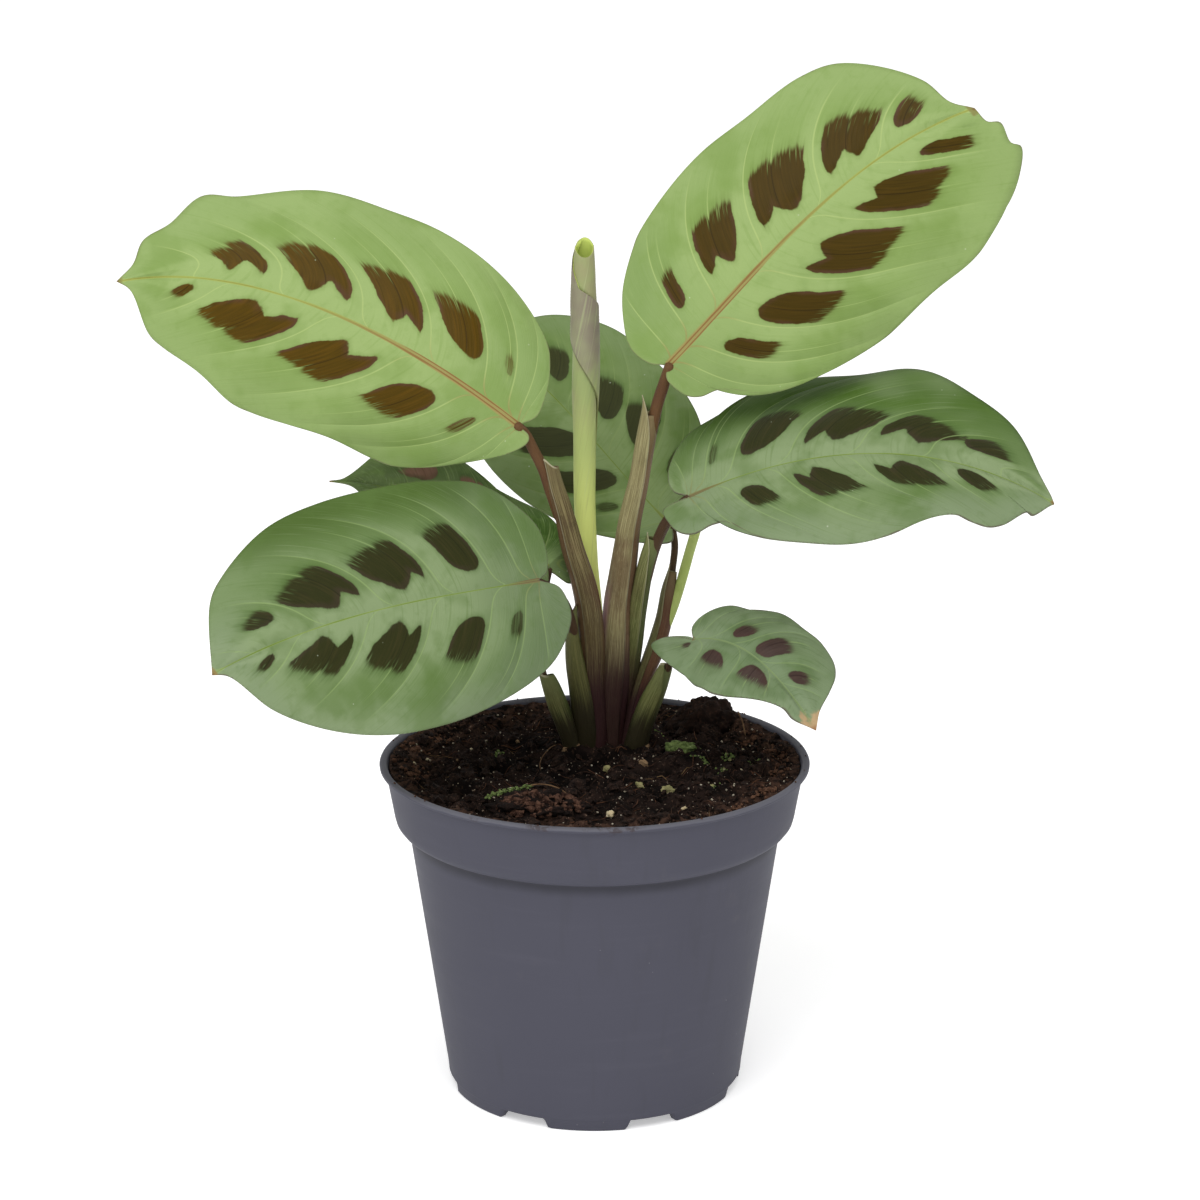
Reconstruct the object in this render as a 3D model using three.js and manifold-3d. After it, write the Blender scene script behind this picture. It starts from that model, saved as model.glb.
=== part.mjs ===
// A prayer plant in a plastic nursery pot, in millimetres, +Z up.
// Everything is laid out around the pot's axis, with the floor at z = 0. At the end the whole plant
// is moved sideways, so that the origin is under the middle of its own box.
import * as THREE from 'three';
import { mergeVertices } from 'three/addons/utils/BufferGeometryUtils.js';
import Module from 'manifold-3d';

const wasm = await Module();
wasm.setup();

// ---- driving dimensions ------------------------------------------------------------------------
const CLEARANCE = 0.3; // gap between pieces that touch

const POT_HEIGHT = 94.7;
const RIM_RADIUS = 60;
const FOOT_RADIUS = 41.1;
const BODY_TOP_RADIUS = 52.2;
const COLLAR_Z = 76.4; // where the collar steps out of the body
const COLLAR_LOW_RADIUS = 56;
const COLLAR_HIGH_RADIUS = 58.4;
const LIP_THICKNESS = 1.4;
const WALL = 1.2;
const FOOT_HEIGHT = 3.2;
const FOOT_WIDTH = 2.4;
const POT_SIDES = 42;

const FOOT_COUNT = 7;
const FIRST_GAP_DEG = 22.8; // turned from the front of the pot towards +X
const GAP_WIDTH_LOW = 14.6;
const GAP_WIDTH_HIGH = 12;
const GAP_HEIGHT = 2.9;
const DRAIN_RADIUS = 4;
const DRAIN_RING_RADIUS = 30;

const SOIL_Z = 92;
const MOUND = { at: [4, 19, 87.6], radii: [27, 23, 6.4] };

const LEAF_THICKNESS = 0.6;
const LEAF_ROWS = 14;
const LEAF_COLUMNS = 6;
const LEAF_REFERENCE = 30; // half width at which curl and ripple have their stated height

const STEM_SIDES = 10;
const STEPS_PER_POINT = 2;

// ---- colours -----------------------------------------------------------------------------------
const COLOURS = {
  pot: 0x555662,
  soil: 0x2a1c16,
  rhizome: 0x6b4a35,
  peat: 0x33201a,
  bark: 0x5a3f2a,
  moss: 0x7f8f4a,
  brightLeaf: 0x9bbd6f,
  darkLeaf: 0x6f9160,
  rolledLeaf: 0xa9b97a,
  petiole: 0x8a4a36,
  sheath: 0x6e5a3c,
  greenSheath: 0x66703c,
};

// ---- leaves ------------------------------------------------------------------------------------
// midrib: four control points of a cubic curve from the leaf's base to its tip.
// facing: the way the upper side looks at the base and at the tip.
// For the left and the right half: lift is the half's angle above the midrib in degrees, curl is
// how far its margin bends up, ripple is the height of its waves and phase is where they start.
// The margins run from the base to the tip, as distance along the midrib and across it.
const LEAVES = {
  leaf_upper_left: {
    colour: COLOURS.brightLeaf,
    midrib: [[-21, 8, 188], [-51, 13, 211], [-92, 19, 233], [-132, 24, 225]],
    facing: [[0, -0.9, 0.4], [0, -0.95, 0.3]],
    lift: [-14, -4], curl: [-2, -3], ripple: [1.2, 1.2], pitch: 42, phase: [0.1, 0.45],
    left: [
      [0, 0], [-4, 0.3], [-5, 2], [-2.5, 8], [11.5, 22.5], [22.5, 29], [30, 30.5], [44, 31.5],
      [59, 33], [74, 33.5], [83, 32.5], [96.5, 26], [110, 19.5], [114.5, 15.5], [118, 3], [121.5, 0],
    ],
    right: [
      [0, 0], [-2.5, -5], [-1.5, -10], [3, -19], [7.5, -24], [22, -31], [44.5, -34.5], [58.5, -33.5],
      [73.5, -31.5], [92, -24.5], [100, -23.5], [107, -15], [113.5, -10.5], [116.5, -4], [121.5, 0],
    ],
  },
  leaf_upper_right: {
    colour: COLOURS.brightLeaf,
    midrib: [[20, 8, 205], [45, 15, 230], [69, 23, 261], [104, 30, 272]],
    facing: [[0, -0.92, 0.35], [0, -0.92, 0.35]],
    lift: [-3, -8], curl: [-3, -2], ripple: [1, 1.6], pitch: 40, phase: [0.3, 0.65],
    left: [
      [0, 0], [-3, 3.5], [-4, 8.5], [-3, 12.5], [5.5, 22.5], [17.5, 29.5], [23, 31.5], [48, 34],
      [63, 32.5], [78, 31.5], [87, 28.5], [101.5, 13], [105.5, 4], [111, 0],
    ],
    right: [
      [0, 0], [-3, -2.5], [-2.5, -9.5], [0, -12.5], [5, -15], [14.5, -26.5], [28.5, -33.5], [47, -38],
      [54, -38.5], [72, -38], [90, -37], [97.5, -35], [111, -28], [117.5, -20.5], [120, -14],
      [117.5, -12], [116.5, -6], [113, -4.5], [111, 0],
    ],
  },
  leaf_middle_right: {
    colour: COLOURS.darkLeaf,
    midrib: [[26, 0, 170], [58, -3, 186], [93, -10, 190], [123, -24, 174]],
    facing: [[0.1, -0.5, 0.85], [0.3, -0.55, 0.8]],
    lift: [4, 4], curl: [-4, -4], ripple: [1.5, 3], pitch: 70, phase: [0.25, 0.1],
    left: [
      [0, 0], [-4, 4], [-4, 11], [3.5, 21.5], [12.5, 26], [28, 37], [35.5, 38], [45.5, 36.5],
      [55.5, 38], [61, 36.5], [72, 29], [83.5, 21.5], [96.5, 6.5], [104, 0],
    ],
    right: [
      [0, 0], [-8, -0.3], [-7.5, -6.5], [-5.5, -11], [-1.5, -14], [4.5, -14], [9, -15.5], [17, -24],
      [23.5, -27], [37, -29], [59, -30], [66, -29], [82, -21], [87, -21.5], [93, -20.5], [96.5, -17],
      [100, -8.5], [101.5, -9], [104, 0],
    ],
  },
  leaf_lower_left: {
    colour: COLOURS.darkLeaf,
    midrib: [[-15, -10, 149], [-42, -30, 150], [-71, -48, 151], [-99, -62, 138]],
    facing: [[0.2, -0.85, 0.45], [0.1, -0.85, 0.5]],
    lift: [-4, 6], curl: [-3, -4], ripple: [1, 1], pitch: 45, phase: [0.2, 0.55],
    left: [
      [0, 0], [-6, 3], [-8, 10], [-7, 13.5], [-0.5, 21.5], [8, 26.5], [22, 31], [41, 33.5],
      [57, 32.5], [79.5, 24.5], [90.5, 15.5], [97, 2.5], [100.5, 0],
    ],
    right: [
      [0, 0], [-3, -2], [-4, -13], [0.5, -21], [10, -29.5], [23.5, -32], [39.5, -33], [55.5, -33],
      [71.5, -30], [86.5, -22], [91.5, -17.5], [100.5, 0],
    ],
  },
  leaf_back_centre: {
    colour: COLOURS.darkLeaf,
    midrib: [[22, 28, 154], [4, 51, 167], [-11, 74, 184], [-33, 96, 195]],
    facing: [[-0.25, -0.6, 0.75], [-0.25, -0.6, 0.75]],
    lift: [5, 5], curl: [-3, -3], ripple: [1.2, 1.2], pitch: 38, phase: [0, 0.35],
    left: [
      [0, 0], [-4, 3], [-3, 5.5], [13, 18], [19.5, 21], [37.5, 27], [51.5, 28.5], [68.5, 26],
      [82, 19.5], [93.5, 7], [96.5, 0],
    ],
    right: [
      [0, 0], [-3, -1.5], [1.5, -8.5], [19.5, -24], [25, -27], [33.5, -29], [47.5, -30],
      [57.5, -29.5], [69.5, -27], [86, -18], [96.5, 0],
    ],
  },
  leaf_back_left: {
    colour: COLOURS.darkLeaf,
    midrib: [[-13, 12, 147], [-31, 24, 158], [-53, 35, 165], [-76, 46, 163]],
    facing: [[0.1, -0.6, 0.8], [0, -0.6, 0.8]],
    lift: [4, 4], curl: [-3, -3], ripple: [1, 1], pitch: 30, phase: [0, 0.35],
    left: [
      [0, 0], [-4.5, 5], [-6.5, 10], [-5, 16.5], [2.5, 21.5], [15, 23.5], [30, 21], [45, 15.5],
      [56, 8.5], [66.5, 1.5], [74.5, 0],
    ],
    right: [
      [0, 0], [-9, 1.5], [-9.5, -0.5], [-5, -5.5], [6, -12], [11, -13.5], [27, -12.5], [47, -19],
      [56, -20], [61.5, -16], [69.5, -1.5], [74.5, 0],
    ],
  },
  leaf_small_right: {
    colour: COLOURS.darkLeaf,
    midrib: [[27, -6, 131], [42, -15, 136], [51, -23, 124], [60, -28, 112]],
    facing: [[0, -0.5, 0.85], [0.3, -0.6, 0.7]],
    lift: [14, -10], curl: [-6, -4], ripple: [3, 3], pitch: 22, phase: [0.2, 0.55],
    left: [
      [0, 0], [-1, 4.5], [6.5, 12], [11.5, 13], [16.5, 16], [23.5, 16], [29, 17.5], [34, 17.5],
      [36.5, 16], [47, 0],
    ],
    right: [
      [0, 0], [-9, 2.5], [-12, 2], [-14, 0.5], [2.5, -13], [17, -16.5], [22.5, -14.5], [37, -4.5],
      [41, -4], [47, 0],
    ],
  },
};

// ---- stems -------------------------------------------------------------------------------------
// Each is a row of points down its middle from the top to the bottom, as x, y, z and radius.
const PETIOLES = {
  petiole_upper_left: [[-20.5, 8.5, 188, 1.4], [-19, 10.5, 185, 1.7], [-16.5, 11, 180, 1.8], [-13.5, 11, 173, 1.5]],
  petiole_upper_right: [[20, 8.5, 204.5, 1.4], [19, 11, 199, 1.8], [16.5, 11.5, 193, 1.8], [15.5, 12, 186, 1.5]],
  petiole_middle_right: [[25.5, 0.5, 170, 1.2], [23, 5, 165.5, 1.5], [19, 9.5, 158.5, 1.7], [17, 12.5, 149, 1.4]],
  petiole_lower_left: [[-15, -9.5, 148.5, 1.2], [-11.5, -1, 143.5, 1.4], [-8, 6, 137, 1.4], [-5.5, 12, 126, 1.3]],
  petiole_back_centre: [[22, 28.5, 154, 1.1], [22.5, 27, 149, 1.1], [21.5, 24.7, 143, 1.1], [19.6, 22.8, 131, 1.1]],
  petiole_back_left: [[-12.5, 12.5, 146.5, 1], [-14.5, 13, 137, 1.1], [-16.4, 11.5, 126, 1.1], [-13.9, 11, 112, 1.1]],
  petiole_small_right: [[27, -5, 130.5, 0.8], [25.5, -1, 126, 1], [22, 6, 120, 1], [19, 9.5, 113, 1]],
};

// The order is the order of fitting: each of these gives way to the ones before it.
const SHEATHS = {
  sheath_upper_left: [
    [-13, 11.5, 177, 1.4], [-11, 11.5, 172, 3], [-9, 11.5, 164, 3.5], [-5.5, 12.5, 151.5, 3.9],
    [-3, 13, 142.5, 3.9], [-2, 14, 135.5, 3.8], [-0.5, 16, 121.5, 3.2], [1, 17.5, 106, 2.8],
    [1.5, 18, 92.5, 2.6], [1.5, 18.5, 85, 2.4],
  ],
  sheath_upper_right: [
    [13.5, 11.5, 195.5, 0.5], [14, 12, 188.5, 2.2], [13, 13, 177.5, 3], [11, 14, 163.5, 3.3],
    [9.5, 15.5, 150.5, 3.5], [7.5, 16.5, 141.5, 3.6], [6.5, 18, 129.5, 3.7], [5, 19.5, 117.5, 3.3],
    [4, 21, 105, 3], [3.5, 22, 91.5, 2.9], [3.5, 22.5, 85, 2.6],
  ],
  sheath_small_right: [
    [20.5, 9, 119.5, 1], [18.5, 10.5, 114, 2.5], [16.5, 12.5, 108.5, 2.8], [14.5, 15, 101, 2.8],
    [13, 17, 92, 2.6], [12, 18, 85, 2.4],
  ],
  sheath_back_left: [
    [-13.4, 11, 114.5, 1.3], [-11.3, 12, 110, 2.9], [-8.7, 13.5, 102.5, 3.5], [-6.3, 15.5, 93.5, 3],
    [-4.8, 16.5, 85, 2.4],
  ],
  sheath_lower_left: [
    [-6.5, 11, 132, 0.8], [-5.5, 13, 124.5, 2.4], [-4, 17, 116.5, 3.1], [-2.5, 21, 106.5, 3.4],
    [-1.5, 23, 91, 2.7], [-1, 23.5, 85, 2.5],
  ],
  sheath_back_centre: [
    [22.3, 22.3, 137, 1.8], [21, 21.8, 130.5, 3.1], [17.5, 21, 120, 2.6], [13.5, 20.5, 110, 2.1],
    [10.5, 20, 98.5, 1.8], [9, 20, 91, 1.7], [8.5, 19.5, 85, 1.6],
  ],
  sheath_middle_right: [
    [16, 13, 155, 0.8], [15.5, 13, 151.5, 2.5], [15, 13.5, 146.5, 2.8], [12, 16.5, 132, 2.8],
    [10, 20, 117, 2.8], [8.5, 23, 104.5, 2.7], [7, 25, 90.5, 2.4], [6.5, 25.5, 85, 2.3],
  ],
  rolled_leaf: [
    [-2.5, 22, 236, 3.3], [-2, 22, 220, 3.7], [-2.5, 22, 206, 3.9], [-2.5, 22, 192, 3.7],
    [-2.5, 22.5, 177.5, 3.6], [-2.5, 23, 160, 3.4], [-1.5, 24, 145.5, 2.8], [0.5, 25, 130.5, 2.1],
    [2.5, 27, 109, 1.9], [3, 28, 89.5, 1.7], [3, 28.5, 85, 1.6],
  ],
};
const GREEN_SHEATHS = ['sheath_small_right', 'sheath_back_left', 'sheath_lower_left'];

const YOUNG_SPEAR = [[34.5, 28, 174.5, 0.7], [32, 25.5, 162, 1.2], [28, 23, 148.5, 1.3], [23, 20.9, 131.5, 1.2]];

const RHIZOME = { at: [3.5, 21.5, 82], radii: [14, 9, 5] };
const ROOTS = [
  [[-6, 20, 81, 1.3], [-18, 14, 66, 1.1], [-24, 8, 46, 0.7]],
  [[3, 14, 80, 1.3], [8, 0, 64, 1.1], [4, -12, 42, 0.7]],
  [[12, 22, 80, 1.3], [25, 22, 66, 1.1], [30, 14, 45, 0.7]],
  [[2, 28, 80, 1.3], [-4, 36, 62, 1.1], [-2, 30, 38, 0.7]],
];

// ---- loose pieces on the soil ------------------------------------------------------------------
const LUMPS = {
  peat_lump: { at: [31.5, 33.5, 93.3], radii: [8.5, 6.5, 6.5], colour: COLOURS.peat, seed: 1 },
  bark_lump: { at: [-15, -39, 92], radii: [11.5, 6, 4], colour: COLOURS.bark, seed: 2 },
  moss_tuft: { at: [23.5, 14, 92.8], radii: [5, 3.5, 1.8], colour: COLOURS.moss, seed: 3 },
};

// ---- solids ------------------------------------------------------------------------------------
// Welds a geometry's shared points and drops the faces that have closed to a line.
function weld(geometry) {
  const source = geometry.clone();
  source.deleteAttribute('normal');
  source.deleteAttribute('uv');
  const welded = mergeVertices(source, 1e-3);
  const faces = [];
  const index = welded.index.array;
  for (let i = 0; i < index.length; i += 3) {
    const [a, b, c] = [index[i], index[i + 1], index[i + 2]];
    if (a !== b && b !== c && c !== a) faces.push(a, b, c);
  }
  welded.setIndex(faces);
  return welded;
}

function toSolid(geometry) {
  const welded = weld(geometry);
  const mesh = new wasm.Mesh({
    numProp: 3,
    vertProperties: Float32Array.from(welded.attributes.position.array),
    triVerts: Uint32Array.from(welded.index.array),
  });
  return new wasm.Manifold(mesh);
}

function toGeometry(solid) {
  const mesh = solid.getMesh();
  const geometry = new THREE.BufferGeometry();
  geometry.setAttribute('position', new THREE.BufferAttribute(mesh.vertProperties, 3));
  geometry.setIndex(new THREE.BufferAttribute(mesh.triVerts, 1));
  geometry.computeVertexNormals();
  return geometry;
}

// A cut can leave crumbs beside the piece: only its largest part is kept.
function largestPart(solid) {
  const parts = solid.decompose();
  return parts.reduce((best, part) => (part.volume() > best.volume() ? part : best));
}

function cutBy(solid, cutters) {
  return largestPart(cutters.reduce((rest, cutter) => rest.subtract(cutter), solid));
}

// ---- shapes ------------------------------------------------------------------------------------
function moveAway(point, from, distance) {
  point.addScaledVector(point.clone().sub(from).normalize(), distance);
}

// A round stem of changing radius: a closed cylinder bent along the curve through the points.
// grow makes it that much thicker and longer all round, for the room it needs in another piece.
function bentStem(points, grow = 0) {
  const middles = points.map(([x, y, z]) => new THREE.Vector3(x, y, z));
  moveAway(middles[0], middles[1], grow);
  moveAway(middles.at(-1), middles.at(-2), grow);
  const curve = new THREE.CatmullRomCurve3(middles);
  const radii = new THREE.CatmullRomCurve3(points.map((point) => new THREE.Vector3(point[3], 0, 0)));
  const steps = (points.length - 1) * STEPS_PER_POINT;
  const frames = curve.computeFrenetFrames(steps);
  const stem = new THREE.CylinderGeometry(1, 1, 1, STEM_SIDES, steps);
  const position = stem.attributes.position;
  for (let i = 0; i < position.count; i++) {
    const step = Math.round((0.5 - position.getY(i)) * steps);
    const along = step / steps;
    const radius = radii.getPoint(curve.getUtoTmapping(along)).x + grow;
    const at = curve.getPointAt(along);
    at.addScaledVector(frames.normals[step], position.getX(i) * radius);
    at.addScaledVector(frames.binormals[step], position.getZ(i) * radius);
    position.setXYZ(i, at.x, at.y, at.z);
  }
  return stem;
}

// A lump: a faceted ball with an uneven surface.
function lump({ at, radii, seed = 0 }, grow = 0) {
  const ball = new THREE.IcosahedronGeometry(1, 2);
  const position = ball.attributes.position;
  for (let i = 0; i < position.count; i++) {
    const [x, y, z] = [position.getX(i), position.getY(i), position.getZ(i)];
    const bump = 1 + 0.09 * Math.sin(5 * x + 3 * y + seed) * Math.cos(4 * z - 2 * x + seed);
    position.setXYZ(
      i,
      at[0] + x * (radii[0] * bump + grow),
      at[1] + y * (radii[1] * bump + grow),
      at[2] + z * (radii[2] * bump + grow),
    );
  }
  return ball;
}

// A point of a leaf's middle surface, with the way it faces: x runs along the midrib, y across it.
function leafSurface(leaf, midrib, length, half, x, y) {
  const inside = THREE.MathUtils.clamp(x / length, 0, 1);
  const tangent = midrib.getTangentAt(inside);
  const [first, last] = leaf.facing.map((facing) => new THREE.Vector3(...facing));
  const facing = first.lerp(last, inside);
  facing.addScaledVector(tangent, -facing.dot(tangent)).normalize();
  const across = new THREE.Vector3().crossVectors(facing, tangent);
  const reach = half === 0 ? y : -y;
  const lift = THREE.MathUtils.degToRad(leaf.lift[half]);
  const wave = Math.sin(2 * Math.PI * (x / leaf.pitch + leaf.phase[half]));
  const share = (reach / LEAF_REFERENCE) ** 2;
  const height = Math.max(reach, 0) * Math.sin(lift) + (leaf.curl[half] + leaf.ripple[half] * wave) * share;
  const at = midrib.getPointAt(inside).addScaledVector(tangent, x - inside * length);
  at.addScaledVector(across, y * Math.cos(lift)).addScaledVector(facing, height);
  return { at, facing };
}

// A leaf blade: a thin plate whose rows run from the midrib out to the margin.
function leafBlade(leaf) {
  const midrib = new THREE.CubicBezierCurve3(...leaf.midrib.map((point) => new THREE.Vector3(...point)));
  const length = midrib.getLength();
  const margins = [leaf.left, leaf.right].map(
    (outline) => new THREE.CatmullRomCurve3(outline.map(([x, y]) => new THREE.Vector3(x, y, 0))),
  );
  const blade = new THREE.BoxGeometry(1, 1, 1, LEAF_ROWS, LEAF_COLUMNS, 1);
  const position = blade.attributes.position;
  for (let i = 0; i < position.count; i++) {
    const along = position.getX(i) + 0.5;
    const across = 2 * position.getY(i);
    const half = across >= 0 ? 0 : 1;
    const edge = margins[half].getPointAt(along);
    const share = Math.abs(across);
    const start = length * along * along;
    const x = start + (edge.x - start) * share;
    const { at, facing } = leafSurface(leaf, midrib, length, half, x, edge.y * share);
    at.addScaledVector(facing, position.getZ(i) * LEAF_THICKNESS);
    position.setXYZ(i, at.x, at.y, at.z);
  }
  return blade;
}

// The pot's section runs up the outside, over the lip and down the inside.
function pot() {
  const lipZ = POT_HEIGHT - LIP_THICKNESS;
  const floorZ = FOOT_HEIGHT + WALL;
  const section = [
    [0, FOOT_HEIGHT],
    [FOOT_RADIUS - FOOT_WIDTH, FOOT_HEIGHT],
    [FOOT_RADIUS - FOOT_WIDTH, 0],
    [FOOT_RADIUS, 0],
    [BODY_TOP_RADIUS, COLLAR_Z - 0.8],
    [BODY_TOP_RADIUS + 1.4, COLLAR_Z],
    [COLLAR_LOW_RADIUS - 1.3, COLLAR_Z + 0.9],
    [COLLAR_LOW_RADIUS, COLLAR_Z + 3],
    [COLLAR_HIGH_RADIUS, lipZ],
    [RIM_RADIUS - 0.2, lipZ],
    [RIM_RADIUS, POT_HEIGHT - 0.5],
    [RIM_RADIUS - 0.5, POT_HEIGHT],
    [RIM_RADIUS - 2, POT_HEIGHT],
    [COLLAR_HIGH_RADIUS - WALL, lipZ - 1],
    [COLLAR_LOW_RADIUS - WALL, COLLAR_Z + 3.3],
    [BODY_TOP_RADIUS + 0.7, COLLAR_Z + 1],
    [BODY_TOP_RADIUS - WALL, COLLAR_Z - 0.2],
    [FOOT_RADIUS - WALL + 0.5, floorZ],
    [0, floorZ],
  ];
  const shell = new THREE.LatheGeometry(section.map(([r, z]) => new THREE.Vector2(r, z)), POT_SIDES);
  shell.rotateX(Math.PI / 2);
  const cutters = [];
  for (let i = 0; i < FOOT_COUNT; i++) {
    const turn = THREE.MathUtils.degToRad(FIRST_GAP_DEG + (360 / FOOT_COUNT) * i);
    cutters.push(toSolid(footGap(turn)), toSolid(drainHole(turn)));
  }
  return cutBy(toSolid(shell), cutters);
}

// The gap between two feet has slanted ends. It is cut straight out through the foot ring.
function footGap(turn) {
  const outline = new THREE.Shape([
    new THREE.Vector2(-GAP_WIDTH_LOW / 2, -1),
    new THREE.Vector2(GAP_WIDTH_LOW / 2, -1),
    new THREE.Vector2(GAP_WIDTH_HIGH / 2, GAP_HEIGHT),
    new THREE.Vector2(-GAP_WIDTH_HIGH / 2, GAP_HEIGHT),
  ]);
  const cutter = new THREE.ExtrudeGeometry(outline, { depth: 10, bevelEnabled: false });
  cutter.rotateX(Math.PI / 2);
  cutter.translate(0, -(FOOT_RADIUS - 8), 0);
  cutter.rotateZ(turn);
  return cutter;
}

function drainHole(turn) {
  const cutter = new THREE.CylinderGeometry(DRAIN_RADIUS, DRAIN_RADIUS, 4 * WALL, 12);
  cutter.rotateX(Math.PI / 2);
  cutter.translate(0, -DRAIN_RING_RADIUS, FOOT_HEIGHT + WALL / 2);
  cutter.rotateZ(turn);
  return cutter;
}

function soilBody() {
  const side = WALL + CLEARANCE;
  const section = [
    [0, FOOT_HEIGHT + side],
    [FOOT_RADIUS - side + 0.4, FOOT_HEIGHT + side],
    [BODY_TOP_RADIUS - side, COLLAR_Z - 0.2],
    [COLLAR_LOW_RADIUS - side, COLLAR_Z + 4],
    [COLLAR_HIGH_RADIUS - side - CLEARANCE, SOIL_Z],
    [0, SOIL_Z],
  ];
  const body = new THREE.LatheGeometry(section.map(([r, z]) => new THREE.Vector2(r, z)), POT_SIDES);
  body.rotateX(Math.PI / 2);
  return toSolid(body).add(toSolid(lump(MOUND)));
}

function rhizomeWithRoots(grow = 0) {
  return ROOTS.reduce(
    (solid, root) => solid.add(toSolid(bentStem(root, grow))),
    toSolid(lump(RHIZOME, grow)),
  );
}

// ---- fitting the pieces together ---------------------------------------------------------------
const solids = {};
const colours = {};

function keep(name, solid, colour) {
  solids[name] = solid;
  colours[name] = colour;
}

keep('pot', pot(), COLOURS.pot);
keep('rhizome', rhizomeWithRoots(), COLOURS.rhizome);
const rhizomeRoom = rhizomeWithRoots(CLEARANCE);

const petioleRooms = [];
for (const [name, points] of Object.entries(PETIOLES)) {
  keep(name, toSolid(bentStem(points)), COLOURS.petiole);
  petioleRooms.push(toSolid(bentStem(points, CLEARANCE)));
}
keep('young_spear', toSolid(bentStem(YOUNG_SPEAR)), COLOURS.rolledLeaf);
petioleRooms.push(toSolid(bentStem(YOUNG_SPEAR, CLEARANCE)));

const sheathRooms = [];
for (const [name, points] of Object.entries(SHEATHS)) {
  const green = GREEN_SHEATHS.includes(name) ? COLOURS.greenSheath : COLOURS.sheath;
  const colour = name === 'rolled_leaf' ? COLOURS.rolledLeaf : green;
  const rooms = [...petioleRooms, ...sheathRooms, rhizomeRoom];
  keep(name, cutBy(toSolid(bentStem(points)), rooms), colour);
  sheathRooms.push(toSolid(bentStem(points, CLEARANCE)));
}

for (const [name, leaf] of Object.entries(LEAVES)) {
  keep(name, cutBy(toSolid(leafBlade(leaf)), [...petioleRooms, ...sheathRooms]), leaf.colour);
}

const lumpRooms = [];
for (const [name, form] of Object.entries(LUMPS)) {
  keep(name, toSolid(lump(form)), form.colour);
  lumpRooms.push(toSolid(lump(form, CLEARANCE)));
}

keep('soil', cutBy(soilBody(), [...sheathRooms, rhizomeRoom, ...lumpRooms]), COLOURS.soil);

// ---- the scene graph ---------------------------------------------------------------------------
const plant = new THREE.Group();
for (const [name, solid] of Object.entries(solids)) {
  const material = new THREE.MeshStandardMaterial({
    color: colours[name],
    roughness: name === 'pot' ? 0.45 : 0.7,
    metalness: 0,
  });
  const mesh = new THREE.Mesh(toGeometry(solid), material);
  mesh.name = name;
  plant.add(mesh);
}

const box = new THREE.Box3().setFromObject(plant);
const middle = box.getCenter(new THREE.Vector3());
plant.position.set(-middle.x, -middle.y, -box.min.z);

export default plant;
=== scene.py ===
"""A potted prayer plant: the finished surfaces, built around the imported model.

Lengths are written in millimetres around the pot's axis, as in the part's source, and become metres
when a mesh is placed.
"""
import math
import random

import bmesh
import bpy
import numpy as np
from mathutils import Matrix, Vector, noise


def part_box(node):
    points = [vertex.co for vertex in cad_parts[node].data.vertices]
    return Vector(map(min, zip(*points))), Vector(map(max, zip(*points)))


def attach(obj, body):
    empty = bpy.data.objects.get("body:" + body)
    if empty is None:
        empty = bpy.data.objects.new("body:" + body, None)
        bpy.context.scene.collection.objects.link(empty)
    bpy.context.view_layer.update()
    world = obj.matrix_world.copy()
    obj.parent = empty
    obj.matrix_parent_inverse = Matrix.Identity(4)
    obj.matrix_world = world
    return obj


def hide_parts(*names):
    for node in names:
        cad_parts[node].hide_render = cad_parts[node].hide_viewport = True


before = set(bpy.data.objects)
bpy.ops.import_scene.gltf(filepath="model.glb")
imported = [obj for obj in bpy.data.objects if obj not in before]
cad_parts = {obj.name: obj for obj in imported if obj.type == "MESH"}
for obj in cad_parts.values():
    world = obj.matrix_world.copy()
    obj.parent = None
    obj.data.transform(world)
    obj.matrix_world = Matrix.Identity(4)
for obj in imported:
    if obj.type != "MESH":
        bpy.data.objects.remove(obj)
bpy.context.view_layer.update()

MM = 0.001
POT_LOW, POT_HIGH = (Vector(corner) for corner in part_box("pot"))
POT_AXIS = Vector(((POT_LOW.x + POT_HIGH.x) / 2, (POT_LOW.y + POT_HIGH.y) / 2, 0))


# ---- shaders -----------------------------------------------------------------------------------
def maths(operation, swapped=False):
    """A method of Value that joins it with another value in a maths node."""
    def method(self, other=0.0):
        pair = [other, self] if swapped else [self, other]
        return self.finish.node("ShaderNodeMath", {"operation": operation}, pair)
    return method


class Value:
    """A shader socket that can be added, multiplied and compared."""

    def __init__(self, finish, socket):
        self.finish = finish
        self.socket = socket

    __add__ = __radd__ = maths("ADD")
    __mul__ = __rmul__ = maths("MULTIPLY")
    __sub__ = maths("SUBTRACT")
    __rsub__ = maths("SUBTRACT", swapped=True)
    __truediv__ = maths("DIVIDE")
    least = maths("MINIMUM")
    most = maths("MAXIMUM")
    size = maths("ABSOLUTE")
    sine = maths("SINE")
    fraction = maths("FRACT")

    def rise(self, start, end):
        """0 before start and 1 after end, smooth between. end may be below start."""
        settings = {"interpolation_type": "SMOOTHSTEP", "clamp": True}
        if start > end:
            return 1 - self.finish.node("ShaderNodeMapRange", settings, [self, end, start])
        return self.finish.node("ShaderNodeMapRange", settings, [self, start, end])


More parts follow.
